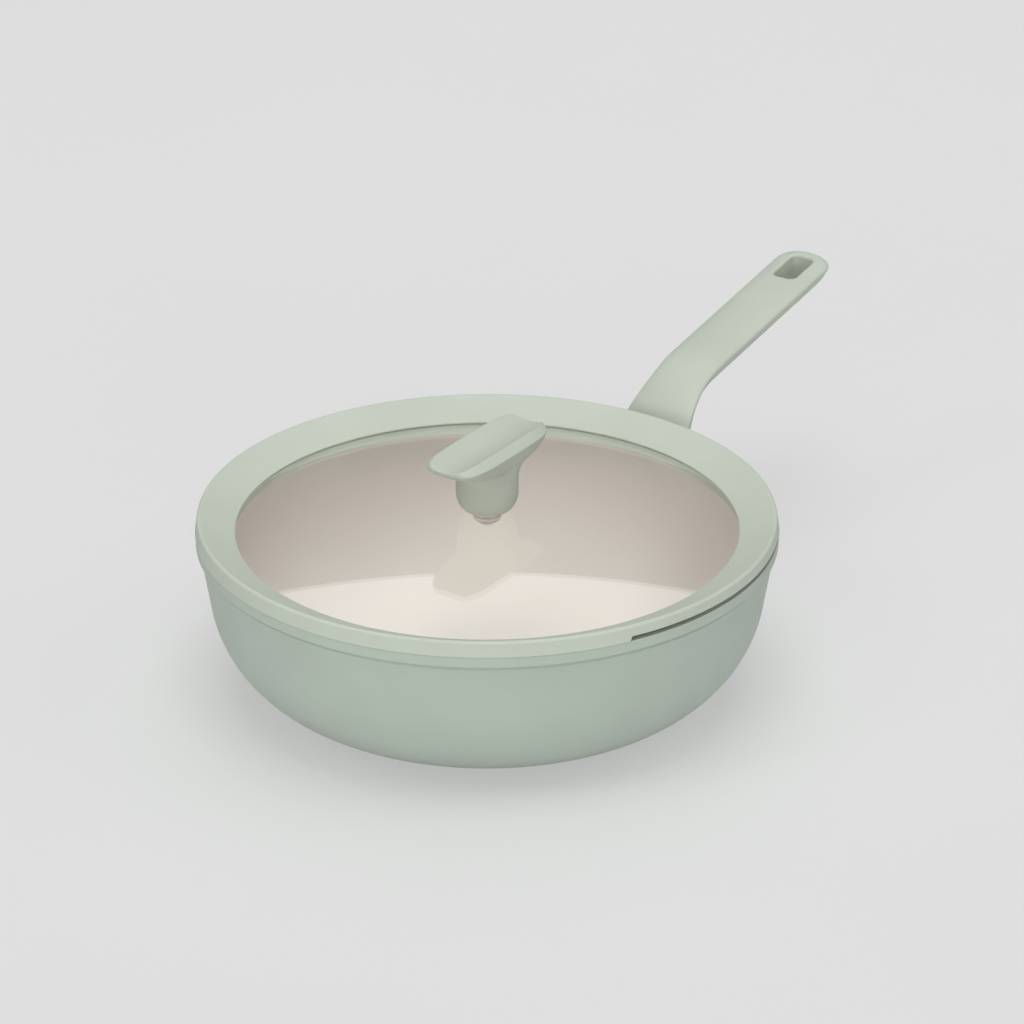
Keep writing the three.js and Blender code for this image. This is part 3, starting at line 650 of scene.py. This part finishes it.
def inner_corner(steps):
    radius = CORNER_R - BASE_T
    to_r, to_z = MOUTH_R - BASE_FLAT_R, RIM_TOP_Z - RIM_FILLET - CORNER_Z
    end = math.atan2(to_z, to_r) - math.acos(radius / math.hypot(to_r, to_z))
    return arc(BASE_FLAT_R, CORNER_Z, radius, end, -math.pi / 2, steps)


def mouth_radius(z):
    wall_r, wall_z = inner_corner(2)[0]
    return lerp(wall_r, MOUTH_R, (z - wall_z) / (RIM_TOP_Z - RIM_FILLET - wall_z))


def make_pan():
    """Pan turned in one, painted outside and up to the rim, with the ceramic coating inside."""
    recess_r, recess_z = DISC_R + SEAT_GAP, DISC_T + SEAT_GAP
    foot = eased([
        (0, recess_z, 0),
        (recess_r, recess_z, RECESS_CORNER_R),
        (recess_r, BASE_LOW_Z, RECESS_EDGE_R),
        (BASE_FLAT_R, BASE_LOW_Z, 0),
    ])
    wall = wall_corner(0, CORNER_STEPS)
    wall_last = wall[-1]
    rim = eased([
        (*wall_last, 0),
        (WALL_TOP_R, BEAD_LOW_Z - BEAD_GROOVE_H, BEAD_GROOVE_R),
        (WALL_TOP_R - BEAD_GROOVE_D, BEAD_LOW_Z - BEAD_GROOVE_H / 2, BEAD_GROOVE_R),
        (WALL_TOP_R - BEAD_GROOVE_D, BEAD_LOW_Z, BEAD_CREASE_R),
        (RIM_R, BEAD_LOW_Z, BEAD_EDGE_R),
        (RIM_R, RIM_TOP_Z, BEAD_EDGE_R),
        (MOUTH_R, RIM_TOP_Z, RIM_FILLET),
        (*inner_corner(2)[0], 0),
    ], steps=7)
    outside = foot + wall[1:] + rim[1:-1]
    inside = inner_corner(CORNER_STEPS) + [(BASE_FLAT_R / 2, FLOOR_Z), (0, FLOOR_Z)]
    verts, faces, bands = lathe(outside + inside)
    painted_bands = len(outside) - 1
    obj = new_object("pan_shell", verts, faces)
    return dress(obj, "pan", [paint, ceramic], ["pan_body"],
                 [0 if band < painted_bands else 1 for band in bands])


def make_base():
    """Steel disc with round-bottomed rings pressed into its underside."""
    under = [(0, 0, 0)]
    for i in range(GROOVE_COUNT):
        r = GROOVE_FIRST_R + i * GROOVE_PITCH
        under += [(r, 0, GROOVE_EDGE_R), (r + GROOVE_W / 2, GROOVE_DEPTH, GROOVE_ROOT_R),
                  (r + GROOVE_W, 0, GROOVE_EDGE_R)]
    under += [(DISC_R, 0, DISC_EDGE_R), (DISC_R, DISC_T, DISC_TOP_EDGE_R), (0, DISC_T, 0)]
    verts, faces, _ = lathe(eased(under))
    return dress(new_object("base_plate", verts, faces), "pan", [steel], ["base_disc"])


# Lid

def glass_z(r, depth):
    return GLASS_TOP_Z - GLASS_SPHERE_R + math.sqrt((GLASS_SPHERE_R - depth) ** 2 - r ** 2)


def glass_line(from_r, to_r, depth, steps):
    return [(r, glass_z(r, depth)) for r in np.linspace(from_r, to_r, steps + 1)]


def make_glass():
    edge_r = GLASS_R - GLASS_EDGE_R
    hole_r = GLASS_HOLE_R + GLASS_EDGE_R / 2
    edge = eased([
        (edge_r, glass_z(edge_r, GLASS_T), 0),
        (GLASS_R, glass_z(GLASS_R, GLASS_T), GLASS_EDGE_R),
        (GLASS_R, glass_z(GLASS_R, 0), GLASS_EDGE_R),
        (edge_r, glass_z(edge_r, 0), 0),
    ])
    hole = eased([
        (hole_r, glass_z(hole_r, 0), 0),
        (GLASS_HOLE_R, glass_z(GLASS_HOLE_R, 0), GLASS_EDGE_R / 2),
        (GLASS_HOLE_R, glass_z(GLASS_HOLE_R, GLASS_T), GLASS_EDGE_R / 2),
        (hole_r, glass_z(hole_r, GLASS_T), 0),
    ])
    under = glass_line(hole_r, edge_r, GLASS_T, GLASS_STEPS)
    over = glass_line(edge_r, hole_r, 0, GLASS_STEPS)
    verts, faces, _ = lathe(under + edge[1:] + over[1:] + hole[1:-1], closed=True)
    obj = new_object("glass_dome", verts, faces)
    dress(obj, "lid", [clear_glass], ["lid_glass"], flat_weight=False)
    # Lamps and bounced light reach the inside of the pan through the clear dome
    obj.visible_shadow = False
    obj.visible_diffuse = False
    return obj


def make_rim():
    """Silicone ring round the glass, turned with a section that opens over the pour slot."""
    groove_r = GLASS_R + SEAT_GAP
    relief_z = glass_z(groove_r, GLASS_T) - SEAT_GAP - RELIEF_WEB
    plug_z = relief_z - RELIEF_DEPTH
    seam_z = RIM_TOP_Z + TOUCH_GAP
    crest_r, crest_z = RING_R - RING_DRAFT - CREST_R, LID_Z + RING_H - CREST_R
    crest_end = math.pi / 2 + math.atan2(crest_z - LIP_Z, crest_r - LIP_R)
    plug_low_r = mouth_radius(plug_z) - PLUG_CLEARANCE
    plug_top_r = mouth_radius(RIM_TOP_Z) - PLUG_CLEARANCE
    relief_in_r = INNER_LIP_R + INNER_LIP_W
    relief_out_r = plug_low_r - PLUG_WALL
    crest = arc(crest_r, crest_z, CREST_R, 0, crest_end, CREST_STEPS)
    slope_last = crest[-1]
    lip = eased([
        (*slope_last, 0),
        (LIP_R, LIP_Z, LIP_EDGE_R),
        (LIP_R, glass_z(LIP_R, 0) + TOUCH_GAP, LIP_TOUCH_R),
        (groove_r, glass_z(groove_r, 0) + TOUCH_GAP, 0),
    ])
    under = eased([
        (groove_r, glass_z(groove_r, GLASS_T) - SEAT_GAP, 0),
        (INNER_LIP_R, glass_z(INNER_LIP_R, GLASS_T) - SEAT_GAP, MOULD_EDGE_R),
        (INNER_LIP_R, plug_z, PLUG_EDGE_R),
        (relief_in_r - RELIEF_DRAFT, plug_z, MOULD_EDGE_R),
        (relief_in_r, relief_z, MOULD_EDGE_R),
        (relief_out_r - RELIEF_DRAFT, relief_z, 0),
    ])
    slope = [tuple(np.array(slope_last) * (1 - t) + np.array((LIP_R, LIP_Z)) * t)
             for t in (0.25, 0.5, 0.75)]
    fixed = crest + slope + lip[1:] + under
    moving = eased([
        (*under[-1], 0),
        (relief_out_r, plug_z, MOULD_EDGE_R),
        (plug_low_r, plug_z, PLUG_EDGE_R),
        (plug_top_r, seam_z, SEAM_IN_R),
        (RING_R, seam_z, SEAM_OUT_R),
        (*crest[0], 0),
    ])[1:-1]
    slot_z = LID_Z + POUR_SLOT_H
    slot_r = relief_out_r - RELIEF_DRAFT / 2
    face_r = RING_R - RING_DRAFT * POUR_SLOT_H / RING_H
    lifted = [(min(max(r, slot_r), face_r), max(z, slot_z)) for r, z in moving]
    ends = [POUR_SLOT_MID_ANGLE + side * POUR_SLOT_HALF_ANGLE for side in (-1, 1)]
    fine = [end + step for end in ends
            for step in np.linspace(-POUR_SLOT_END, POUR_SLOT_END, SLOT_END_COUNT)]
    even = [a for a in np.linspace(-180, 180, ROUND_STEPS, endpoint=False)
            if min(abs(a - end) for end in ends) > POUR_SLOT_END_ROOM * POUR_SLOT_END]
    verts = []
    angles = sorted(even + fine)
    for angle in angles:
        inside = POUR_SLOT_HALF_ANGLE - abs(angle - POUR_SLOT_MID_ANGLE)
        opened = smoothstep(inside, -POUR_SLOT_END, POUR_SLOT_END)
        section = fixed + [(lerp(a[0], b[0], opened), lerp(a[1], b[1], opened))
                           for a, b in zip(moving, lifted)]
        turn = math.radians(angle)
        verts += [(r * math.cos(turn), r * math.sin(turn), z) for r, z in section]
    count = len(fixed) + len(moving)
    faces = []
    for i in range(len(angles)):
        j = (i + 1) % len(angles)
        for k in range(count):
            n = (k + 1) % count
            faces.append((i * count + k, j * count + k, j * count + n, i * count + n))
    return dress(new_object("silicone_ring", verts, faces), "lid", [silicone], ["lid_rim"])


def knob_rows():
    """Height above the foot, half length and half width: foot, fillet, hull of the wing, and side lands."""
    rows = []
    for a in np.linspace(0, math.pi / 2, FOOT_ROWS):
        r = FOOT_R + (STEM_R - FOOT_R) * math.sin(a)
        rows.append((FOOT_ROUND_H * (1 - math.cos(a)), r, r))
    for a in np.linspace(0, math.pi / 2, FILLET_ROWS)[:-1]:
        rows.append((FILLET_TOP_H - FILLET_H * (1 - math.sin(a)),
                     STEM_R + FILLET_W * (1 - math.cos(a)), STEM_R))
    for t in np.linspace(0, 1, HULL_ROWS):
        a = lerp(HULL_START, math.pi / 2, t)
        rows.append((WING_H - HULL_H * math.cos(a), KNOB_HALF_L * math.sin(a), lerp(STEM_R, KNOB_HALF_W, t)))
    rows.append((KNOB_H, KNOB_HALF_L, KNOB_HALF_W - LAND_W))
    return rows


def make_knob():
    """Knob lofted over its rows, with the finger trough and the insert's bore cut out."""
    rings = []
    for h, half_l, half_w in knob_rows():
        fullness = lerp(2, WING_FULLNESS, min(max((half_l - half_w) / WING_SQUARE_BY, 0), 1))
        angles = np.arange(KNOB_STEPS) * 2 * math.pi / KNOB_STEPS
        rings.append([(half_l * oval(math.cos(a), fullness), half_w * oval(math.sin(a), fullness), KNOB_Z + h)
                      for a in angles])
    obj = new_object("knob_wing", *loft(rings))
    trough_r = (TROUGH_HALF_W ** 2 + TROUGH_DEPTH ** 2) / (2 * TROUGH_DEPTH)
    reach = KNOB_HALF_L + OVERRUN
    trough_z = KNOB_Z + KNOB_H - TROUGH_DEPTH + trough_r
    lay = Matrix.Translation((0, 0, trough_z)) @ Matrix.Rotation(math.pi / 2, 4, "Y")
    trough = new_object("trough", *prism(round_outline(trough_r, TROUGH_STEPS), -reach, reach), lay)
    hex_bore = round_outline(INSERT_R + SEAT_GAP, INSERT_SIDES)
    bore = new_object("bore", *prism(hex_bore, KNOB_Z - OVERRUN, INSERT_TOP_Z + SEAT_GAP))
    carve(obj, [trough, bore], KNOB_VOXEL, KNOB_SOFTENING)
    return dress(obj, "lid", [soft_touch], ["knob"], flat_weight=False)


# Handle

def spine(s):
    """Point in the XZ plane and slope of the handle's top line, at a distance from the wall."""
    def along(start, rise, length):
        return start + length * np.array((math.cos(rise), math.sin(rise)))
    wall = np.array((WALL_TOP_R, ROOT_Z))
    if s <= NECK_L:
        return along(wall, NECK_RISE, s), NECK_RISE
    turned = min(s - NECK_L, BEND_L) / BEND_R
    rise = NECK_RISE - turned
    on_bend = along(along(wall, NECK_RISE, NECK_L), NECK_RISE - turned / 2, 2 * BEND_R * math.sin(turned / 2))
    return along(on_bend, rise, max(s - NECK_L - BEND_L, 0)), rise


def handle_ring(s, count=HANDLE_STEPS):
    """One ring of the handle: a crowned top over a belly, round at the root and keeled along the grip."""
    (x, z), rise = spine(s)
    flare = 1 - smoothstep(s, 0, FLARE_L)
    swell = ROOT_SWELL * max(-s / ROOT_RUN_IN, 0)
    from_tip = min(max((HANDLE_L - s) / TIP_L, 0), 1)
    tip = (1 - (1 - from_tip) ** TIP_FULLNESS) ** (1 / TIP_FULLNESS)
    half_w = tip * lerp(GRIP_W, ROOT_W, flare) / 2
    drop = EDGE_DROP * (1 - flare) * math.sqrt(tip)
    crown = drop + CROWN_H * math.sqrt(tip)
    belly = swell + math.sqrt(tip) * lerp(GRIP_BELLY, ROOT_BELLY, flare) - drop
    keel = lerp(GRIP_KEEL, ROOT_KEEL, flare)
    ring = []
    for k in range(count):
        a = 2 * math.pi * k / count
        if k < count / 2:
            side, up = oval(math.cos(a), CROWN_FULLNESS), crown * oval(math.sin(a), CROWN_FULLNESS) - drop
        else:
            side, up = math.cos(a), -belly * abs(math.sin(a)) ** keel - drop
        ring.append((x - math.sin(rise) * up, half_w * side, z + math.cos(rise) * up))
    return ring


def joint_frames():
    """Frames of the joint: X square to the wall at the bracket, and X up the middle of the neck."""
    wall_r = WALL_TOP_R - (BEAD_LOW_Z - BRACKET_Z) * math.tan(WALL_LEAN)
    wall = Matrix.Translation((wall_r, 0, BRACKET_Z)) @ Matrix.Rotation(WALL_LEAN, 4, "Y")
    plate = wall @ Vector((PLATE_OUT_X, 0, 0))
    depth = (ROOT_BELLY - CROWN_H) / 2
    start_x = WALL_TOP_R + depth * math.sin(NECK_RISE)
    start_z = ROOT_Z - depth * math.cos(NECK_RISE)
    back = (start_x - plate.x) / math.cos(NECK_RISE)
    at = Matrix.Translation((plate.x, 0, start_z - back * math.sin(NECK_RISE)))
    return wall, at @ Matrix.Rotation(-NECK_RISE, 4, "Y")


def make_handle():
    """Handle lofted along its spine, then cut for the pan, the bracket, the screw and the hanging hole."""
    wall_frame, neck_frame = joint_frames()
    middle = np.arange(-ROOT_RUN_IN, HANDLE_L - TIP_L, HANDLE_RING_STEP)
    tip = [HANDLE_L - TIP_L + (TIP_L - TIP_BLUNT) * math.sin(a)
           for a in np.linspace(0, math.pi / 2, TIP_RINGS)]
    obj = new_object("handle", *loft([handle_ring(s) for s in [*middle, *tip]]))
    high_z = RIM_TOP_Z + RING_H
    keep_out = [(0, BASE_LOW_Z - ROOT_GAP)] + wall_corner(ROOT_GAP, KEEP_OUT_STEPS) + [
        (WALL_TOP_R + ROOT_GAP / math.cos(WALL_LEAN), BEAD_LOW_Z),
        (RIM_R + ROOT_GAP, BEAD_LOW_Z),
        (RIM_R + ROOT_GAP, high_z),
        (0, high_z),
    ]
    face_x = Matrix(((0, 0, 1, 0), (1, 0, 0, 0), (0, 1, 0, 0), (0, 0, 0, 1)))
    plate = slot_outline(PLATE_W + 2 * POCKET_CLEARANCE, PLATE_H + 2 * POCKET_CLEARANCE,
                         PLATE_CORNER_R + POCKET_CLEARANCE)
    half_w = TONGUE_W / 2 + SEAT_GAP
    end_x = TONGUE_L + SEAT_GAP
    socket = [(-PLATE_OUT_X, -half_w), (end_x, -half_w), (end_x, half_w), (-PLATE_OUT_X, half_w)]
    half_t = TONGUE_T / 2 + SEAT_GAP
    at_screw = neck_frame @ Matrix.Translation((HANDLE_SCREW_AT, 0, 0))
    (hang_x, hang_z), rise = spine(HANDLE_L - HANG_FROM_TIP - HANG_L / 2)
    at_hole = Matrix.Translation((hang_x, 0, hang_z)) @ Matrix.Rotation(-rise, 4, "Y")
    shank_hole = round_outline(HANDLE_SCREW_R + SCREW_CLEARANCE)
    head_hole = round_outline(COUNTERBORE_R)
    hole = []
    for up, grown in ((-GRIP_BELLY - OVERRUN, 0), (CROWN_H - HANG_BEVEL, 0),
                      (CROWN_H + OVERRUN, HANG_BEVEL + OVERRUN)):
        outline = slot_outline(HANG_L + 2 * grown, HANG_W + 2 * grown, HANG_CORNER_R + grown)
        hole.append([(x, y, up) for x, y in outline])
    cutters = [
        new_object("keep_out", *lathe(keep_out)[:2]),
        new_object("pocket", *prism(plate, -OVERRUN, STUD_END_X + POCKET_CLEARANCE), wall_frame @ face_x),
        new_object("socket", *prism(socket, -half_t, half_t), neck_frame),
        new_object("screw_hole", *prism(shank_hole, SCREW_SEAT_Z - OVERRUN, HANDLE_TIP_Z + OVERRUN),
                   at_screw),
        new_object("counterbore", *prism(head_hole, -ROOT_BELLY - OVERRUN, SCREW_SEAT_Z), at_screw),
        new_object("hanging_hole", *loft(hole), at_hole),
    ]
    carve(obj, cutters, HANDLE_VOXEL, HANDLE_SOFTENING)
    return dress(obj, "pan", [soft_touch], ["handle_grip"], flat_weight=False)


# Screws and washers

def make_screw(name, body, node, finish, place, shank_r, head_r, head_h, seat_z, tip_z):
    """A screw with a domed head below its seat, a cross recess and a ridged shank."""
    shank = [(shank_r, seat_z, SHANK_EDGE_R)]
    z = seat_z + THREAD_PITCH
    while z < tip_z - THREAD_PITCH:
        shank += [(shank_r, z, 0), (shank_r - THREAD_DEPTH, z + THREAD_PITCH / 2, 0)]
        z += THREAD_PITCH
    profile = eased([
        (0, seat_z - head_h, 0),
        (head_r * HEAD_CROWN_SHARE, seat_z - head_h, HEAD_CROWN_R),
        (head_r, seat_z - head_h * HEAD_SIDE_SHARE, HEAD_SIDE_R),
        (head_r, seat_z, HEAD_SEAT_R),
        *shank,
        (shank_r * SHANK_TIP_SHARE, tip_z, SHANK_TIP_EDGE_R),
        (0, tip_z, 0),
    ])
    obj = new_object(name, *lathe(profile, SMALL_STEPS)[:2], place)
    low, high = seat_z - head_h - OVERRUN, seat_z - head_h * RECESS_FLOOR_SHARE
    half_l, half_w = head_r * RECESS_REACH_SHARE, CROSS_W / 2
    cross = [(-half_l, -half_w), (half_l, -half_w), (half_l, half_w), (-half_l, half_w)]
    bars = [new_object("recess", *prism(cross, low, high), place @ Matrix.Rotation(turn, 4, "Z"))
            for turn in (math.pi / 4, 3 * math.pi / 4)]
    carve(obj, bars)
    return dress(obj, body, [finish], [node])


def make_washer(name, body, node, finish, place, outer_r, inner_r, low, high):
    corners = [(inner_r, low, WASHER_BORE_EDGE_R), (outer_r, low, WASHER_EDGE_R),
               (outer_r, high, WASHER_EDGE_R), (inner_r, high, WASHER_BORE_EDGE_R)]
    verts, faces, _ = lathe(eased(corners, closed=True), SMALL_STEPS * 2, closed=True)
    return dress(new_object(name, verts, faces, place), body, [finish], [node])


make_pan()
make_base()
make_glass()
make_rim()
make_knob()
make_handle()
neck = joint_frames()[1] @ Matrix.Translation((HANDLE_SCREW_AT, 0, 0))
make_screw("handle_bolt", "pan", "handle_screw", steel, neck, HANDLE_SCREW_R, HANDLE_HEAD_R, HANDLE_HEAD_H,
           HANDLE_HEAD_TOP_Z, HANDLE_TIP_Z)
upright = Matrix.Identity(4)
grommet_z = glass_z(GROMMET_R, GLASS_T) - SEAT_GAP
washer_z = grommet_z - GROMMET_FLANGE_T - SEAT_GAP
make_washer("lid_steel_washer", "lid", "lid_washer", satin, upright, WASHER_R, LID_SCREW_R + SCREW_CLEARANCE,
            washer_z - WASHER_T, washer_z)
make_screw("lid_bolt", "lid", "lid_screw", satin, upright, LID_SCREW_R, LID_HEAD_R, LID_HEAD_H,
           washer_z - WASHER_T - SEAT_GAP, KNOB_Z + SCREW_GRIP)

# Nodes that keep their own shape, most of them hidden inside
for node, finish in (("handle_bracket", steel), ("weld_stud_left", aluminium), ("weld_stud_right", aluminium),
                     ("handle_lock_washer", steel), ("knob_insert", brass), ("knob_gasket", seal),
                     ("lid_grommet", seal)):
    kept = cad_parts[node]
    kept.data.materials.clear()
    kept.data.materials.append(finish)


# Studio, in metres

FLOOR_R = 12.0
BACKDROP_H = 1.6
FLOOR_COLOUR = linear(222, 223, 222)
AMBIENT = 0.17
FLOOR_EVEN = 0.55
LAMP_DISTANCE = 6.0
CEILING_SIZE = 4.0
CEILING_RADIANCE = 1.65
TOP_RISE = math.radians(75.0)
TOP_SIZE = 3.6
TOP_RADIANCE = 2.85
FILL_TURN = math.radians(6.0)
FILL_RISE = math.radians(14.0)
FILL_W = 9.0
FILL_H = 2.2
FILL_RADIANCE = 3.35
SIDE_RISE = math.radians(37.0)
SIDE_SIZE = 3.5
SIDE_RADIANCE = 1.2
KEY_FROM = Vector((-0.645, 0.313, 0.697))
KEY_SIZE = 1.6
KEY_RADIANCE = 3.7
PANEL_RISE = math.radians(56.4)
PANEL_DISTANCE = 2.0
PANEL_W = 1.5
PANEL_H = 1.5
PANEL_RADIANCE = 1.15
LID_CENTRE = Vector((0, 0, GLASS_TOP_Z * MM))
AWAY = Vector((math.cos(VIEW_TURN), math.sin(VIEW_TURN), 0))
RIGHT = Vector((math.sin(VIEW_TURN), -math.cos(VIEW_TURN), 0))
UP = Vector((0, 0, 1))


def make_floor():
    """A wide paper floor that curves up into a low backdrop, below what the lid mirrors in the photo."""
    cove = arc(FLOOR_R - BACKDROP_H, BACKDROP_H, BACKDROP_H, -math.pi / 2, 0, COVE_STEPS)
    verts, faces, _ = lathe([(0, 0)] + cove, 2 * SMALL_STEPS)
    mesh = bpy.data.meshes.new("floor")
    mesh.from_pydata(verts, [], faces)
    mesh.polygons.foreach_set("use_smooth", [True] * len(mesh.polygons))
    obj = bpy.data.objects.new("floor", mesh)
    bpy.context.scene.collection.objects.link(obj)
    made = Finish("floor_paper", Specular_IOR_Level=0.2)
    tint = made.noise(PAPER_TINT_SCALE, detail=3)
    made.colour(tint, (0.3, shade(FLOOR_COLOUR, 0.99)), (0.7, shade(FLOOR_COLOUR, 1.01)))
    made.gloss(made.noise(PAPER_GLOSS_SCALE, detail=3), low=0.85, high=0.95)
    # Where it is looked at, part of the paper's tone is even, so its shadows are pale
    rays = made.node("ShaderNodeLightPath")
    seen = rays.outputs["Is Camera Ray"]
    for kind in ("Is Glossy Ray", "Is Transmission Ray"):
        either = made.node("ShaderNodeMath", operation="MAXIMUM")
        made.link(seen, either.inputs[0])
        made.link(rays.outputs[kind], either.inputs[1])
        seen = either.outputs["Value"]
    part = made.node("ShaderNodeMath", operation="MULTIPLY")
    made.link(seen, part.inputs[0])
    part.inputs[1].default_value = FLOOR_EVEN
    even = made.node("ShaderNodeEmission")
    even.inputs["Color"].default_value = FLOOR_COLOUR
    mix = made.node("ShaderNodeMixShader")
    made.link(part.outputs["Value"], mix.inputs["Fac"])
    made.link(made.shader.outputs["BSDF"], mix.inputs[1])
    made.link(even.outputs["Emission"], mix.inputs[2])
    made.link(mix.outputs["Shader"], made.tree.nodes["Material Output"].inputs["Surface"])
    mesh.materials.append(made.material)


def rising(level, elevation):
    return level * math.cos(elevation) + UP * math.sin(elevation)


def softbox(name, towards, distance, width, height, radiance):
    """A flat lamp of even brightness that faces the lid."""
    lamp = bpy.data.lights.new(name, "AREA")
    lamp.shape = "RECTANGLE"
    lamp.size = width
    lamp.size_y = height
    lamp.energy = radiance * math.pi * width * height
    obj = bpy.data.objects.new(name, lamp)
    obj.location = LID_CENTRE + towards.normalized() * distance
    obj.rotation_mode = "QUATERNION"
    obj.rotation_quaternion = (-towards).to_track_quat("-Z", "Y")
    bpy.context.scene.collection.objects.link(obj)
    return obj


def make_world():
    """Even soft light all round, the same for every ray."""
    world = bpy.data.worlds.new("studio")
    bpy.context.scene.world = world
    world.use_nodes = True
    light = world.node_tree.nodes["Background"]
    light.inputs["Color"].default_value = (1, 1, 1, 1)
    light.inputs["Strength"].default_value = AMBIENT


def make_camera():
    data = bpy.data.cameras.new("camera")
    data.lens = LENS_MM
    data.sensor_width = SENSOR_MM
    data.sensor_fit = "HORIZONTAL"
    obj = bpy.data.objects.new("camera", data)
    bpy.context.scene.collection.objects.link(obj)
    forward = AWAY * math.cos(VIEW_TILT) - UP * math.sin(VIEW_TILT)
    above = AWAY * math.sin(VIEW_TILT) + UP * math.cos(VIEW_TILT)
    turn = Matrix((RIGHT, above, -forward)).transposed().to_4x4()
    obj.matrix_world = Matrix.Translation(CAMERA_AT) @ turn
    bpy.context.scene.camera = obj


make_floor()
make_world()
softbox("ceiling", UP, LAMP_DISTANCE, CEILING_SIZE, CEILING_SIZE, CEILING_RADIANCE)
softbox("top", rising(-AWAY, TOP_RISE), LAMP_DISTANCE, TOP_SIZE, TOP_SIZE, TOP_RADIANCE)
fill_from = -AWAY * math.cos(FILL_TURN) - RIGHT * math.sin(FILL_TURN)
fill = softbox("fill", rising(fill_from, FILL_RISE), LAMP_DISTANCE, FILL_W, FILL_H, FILL_RADIANCE)
# The broad fill would whiten the whole lid seen from behind
fill.visible_glossy = False
softbox("side", rising(RIGHT, SIDE_RISE), LAMP_DISTANCE, SIDE_SIZE, SIDE_SIZE, SIDE_RADIANCE)
softbox("key", KEY_FROM, LAMP_DISTANCE, KEY_SIZE, KEY_SIZE, KEY_RADIANCE)
softbox("panel", rising(AWAY, PANEL_RISE), PANEL_DISTANCE, PANEL_W, PANEL_H, PANEL_RADIANCE)
make_camera()
bpy.context.scene.view_settings.view_transform = "Standard"
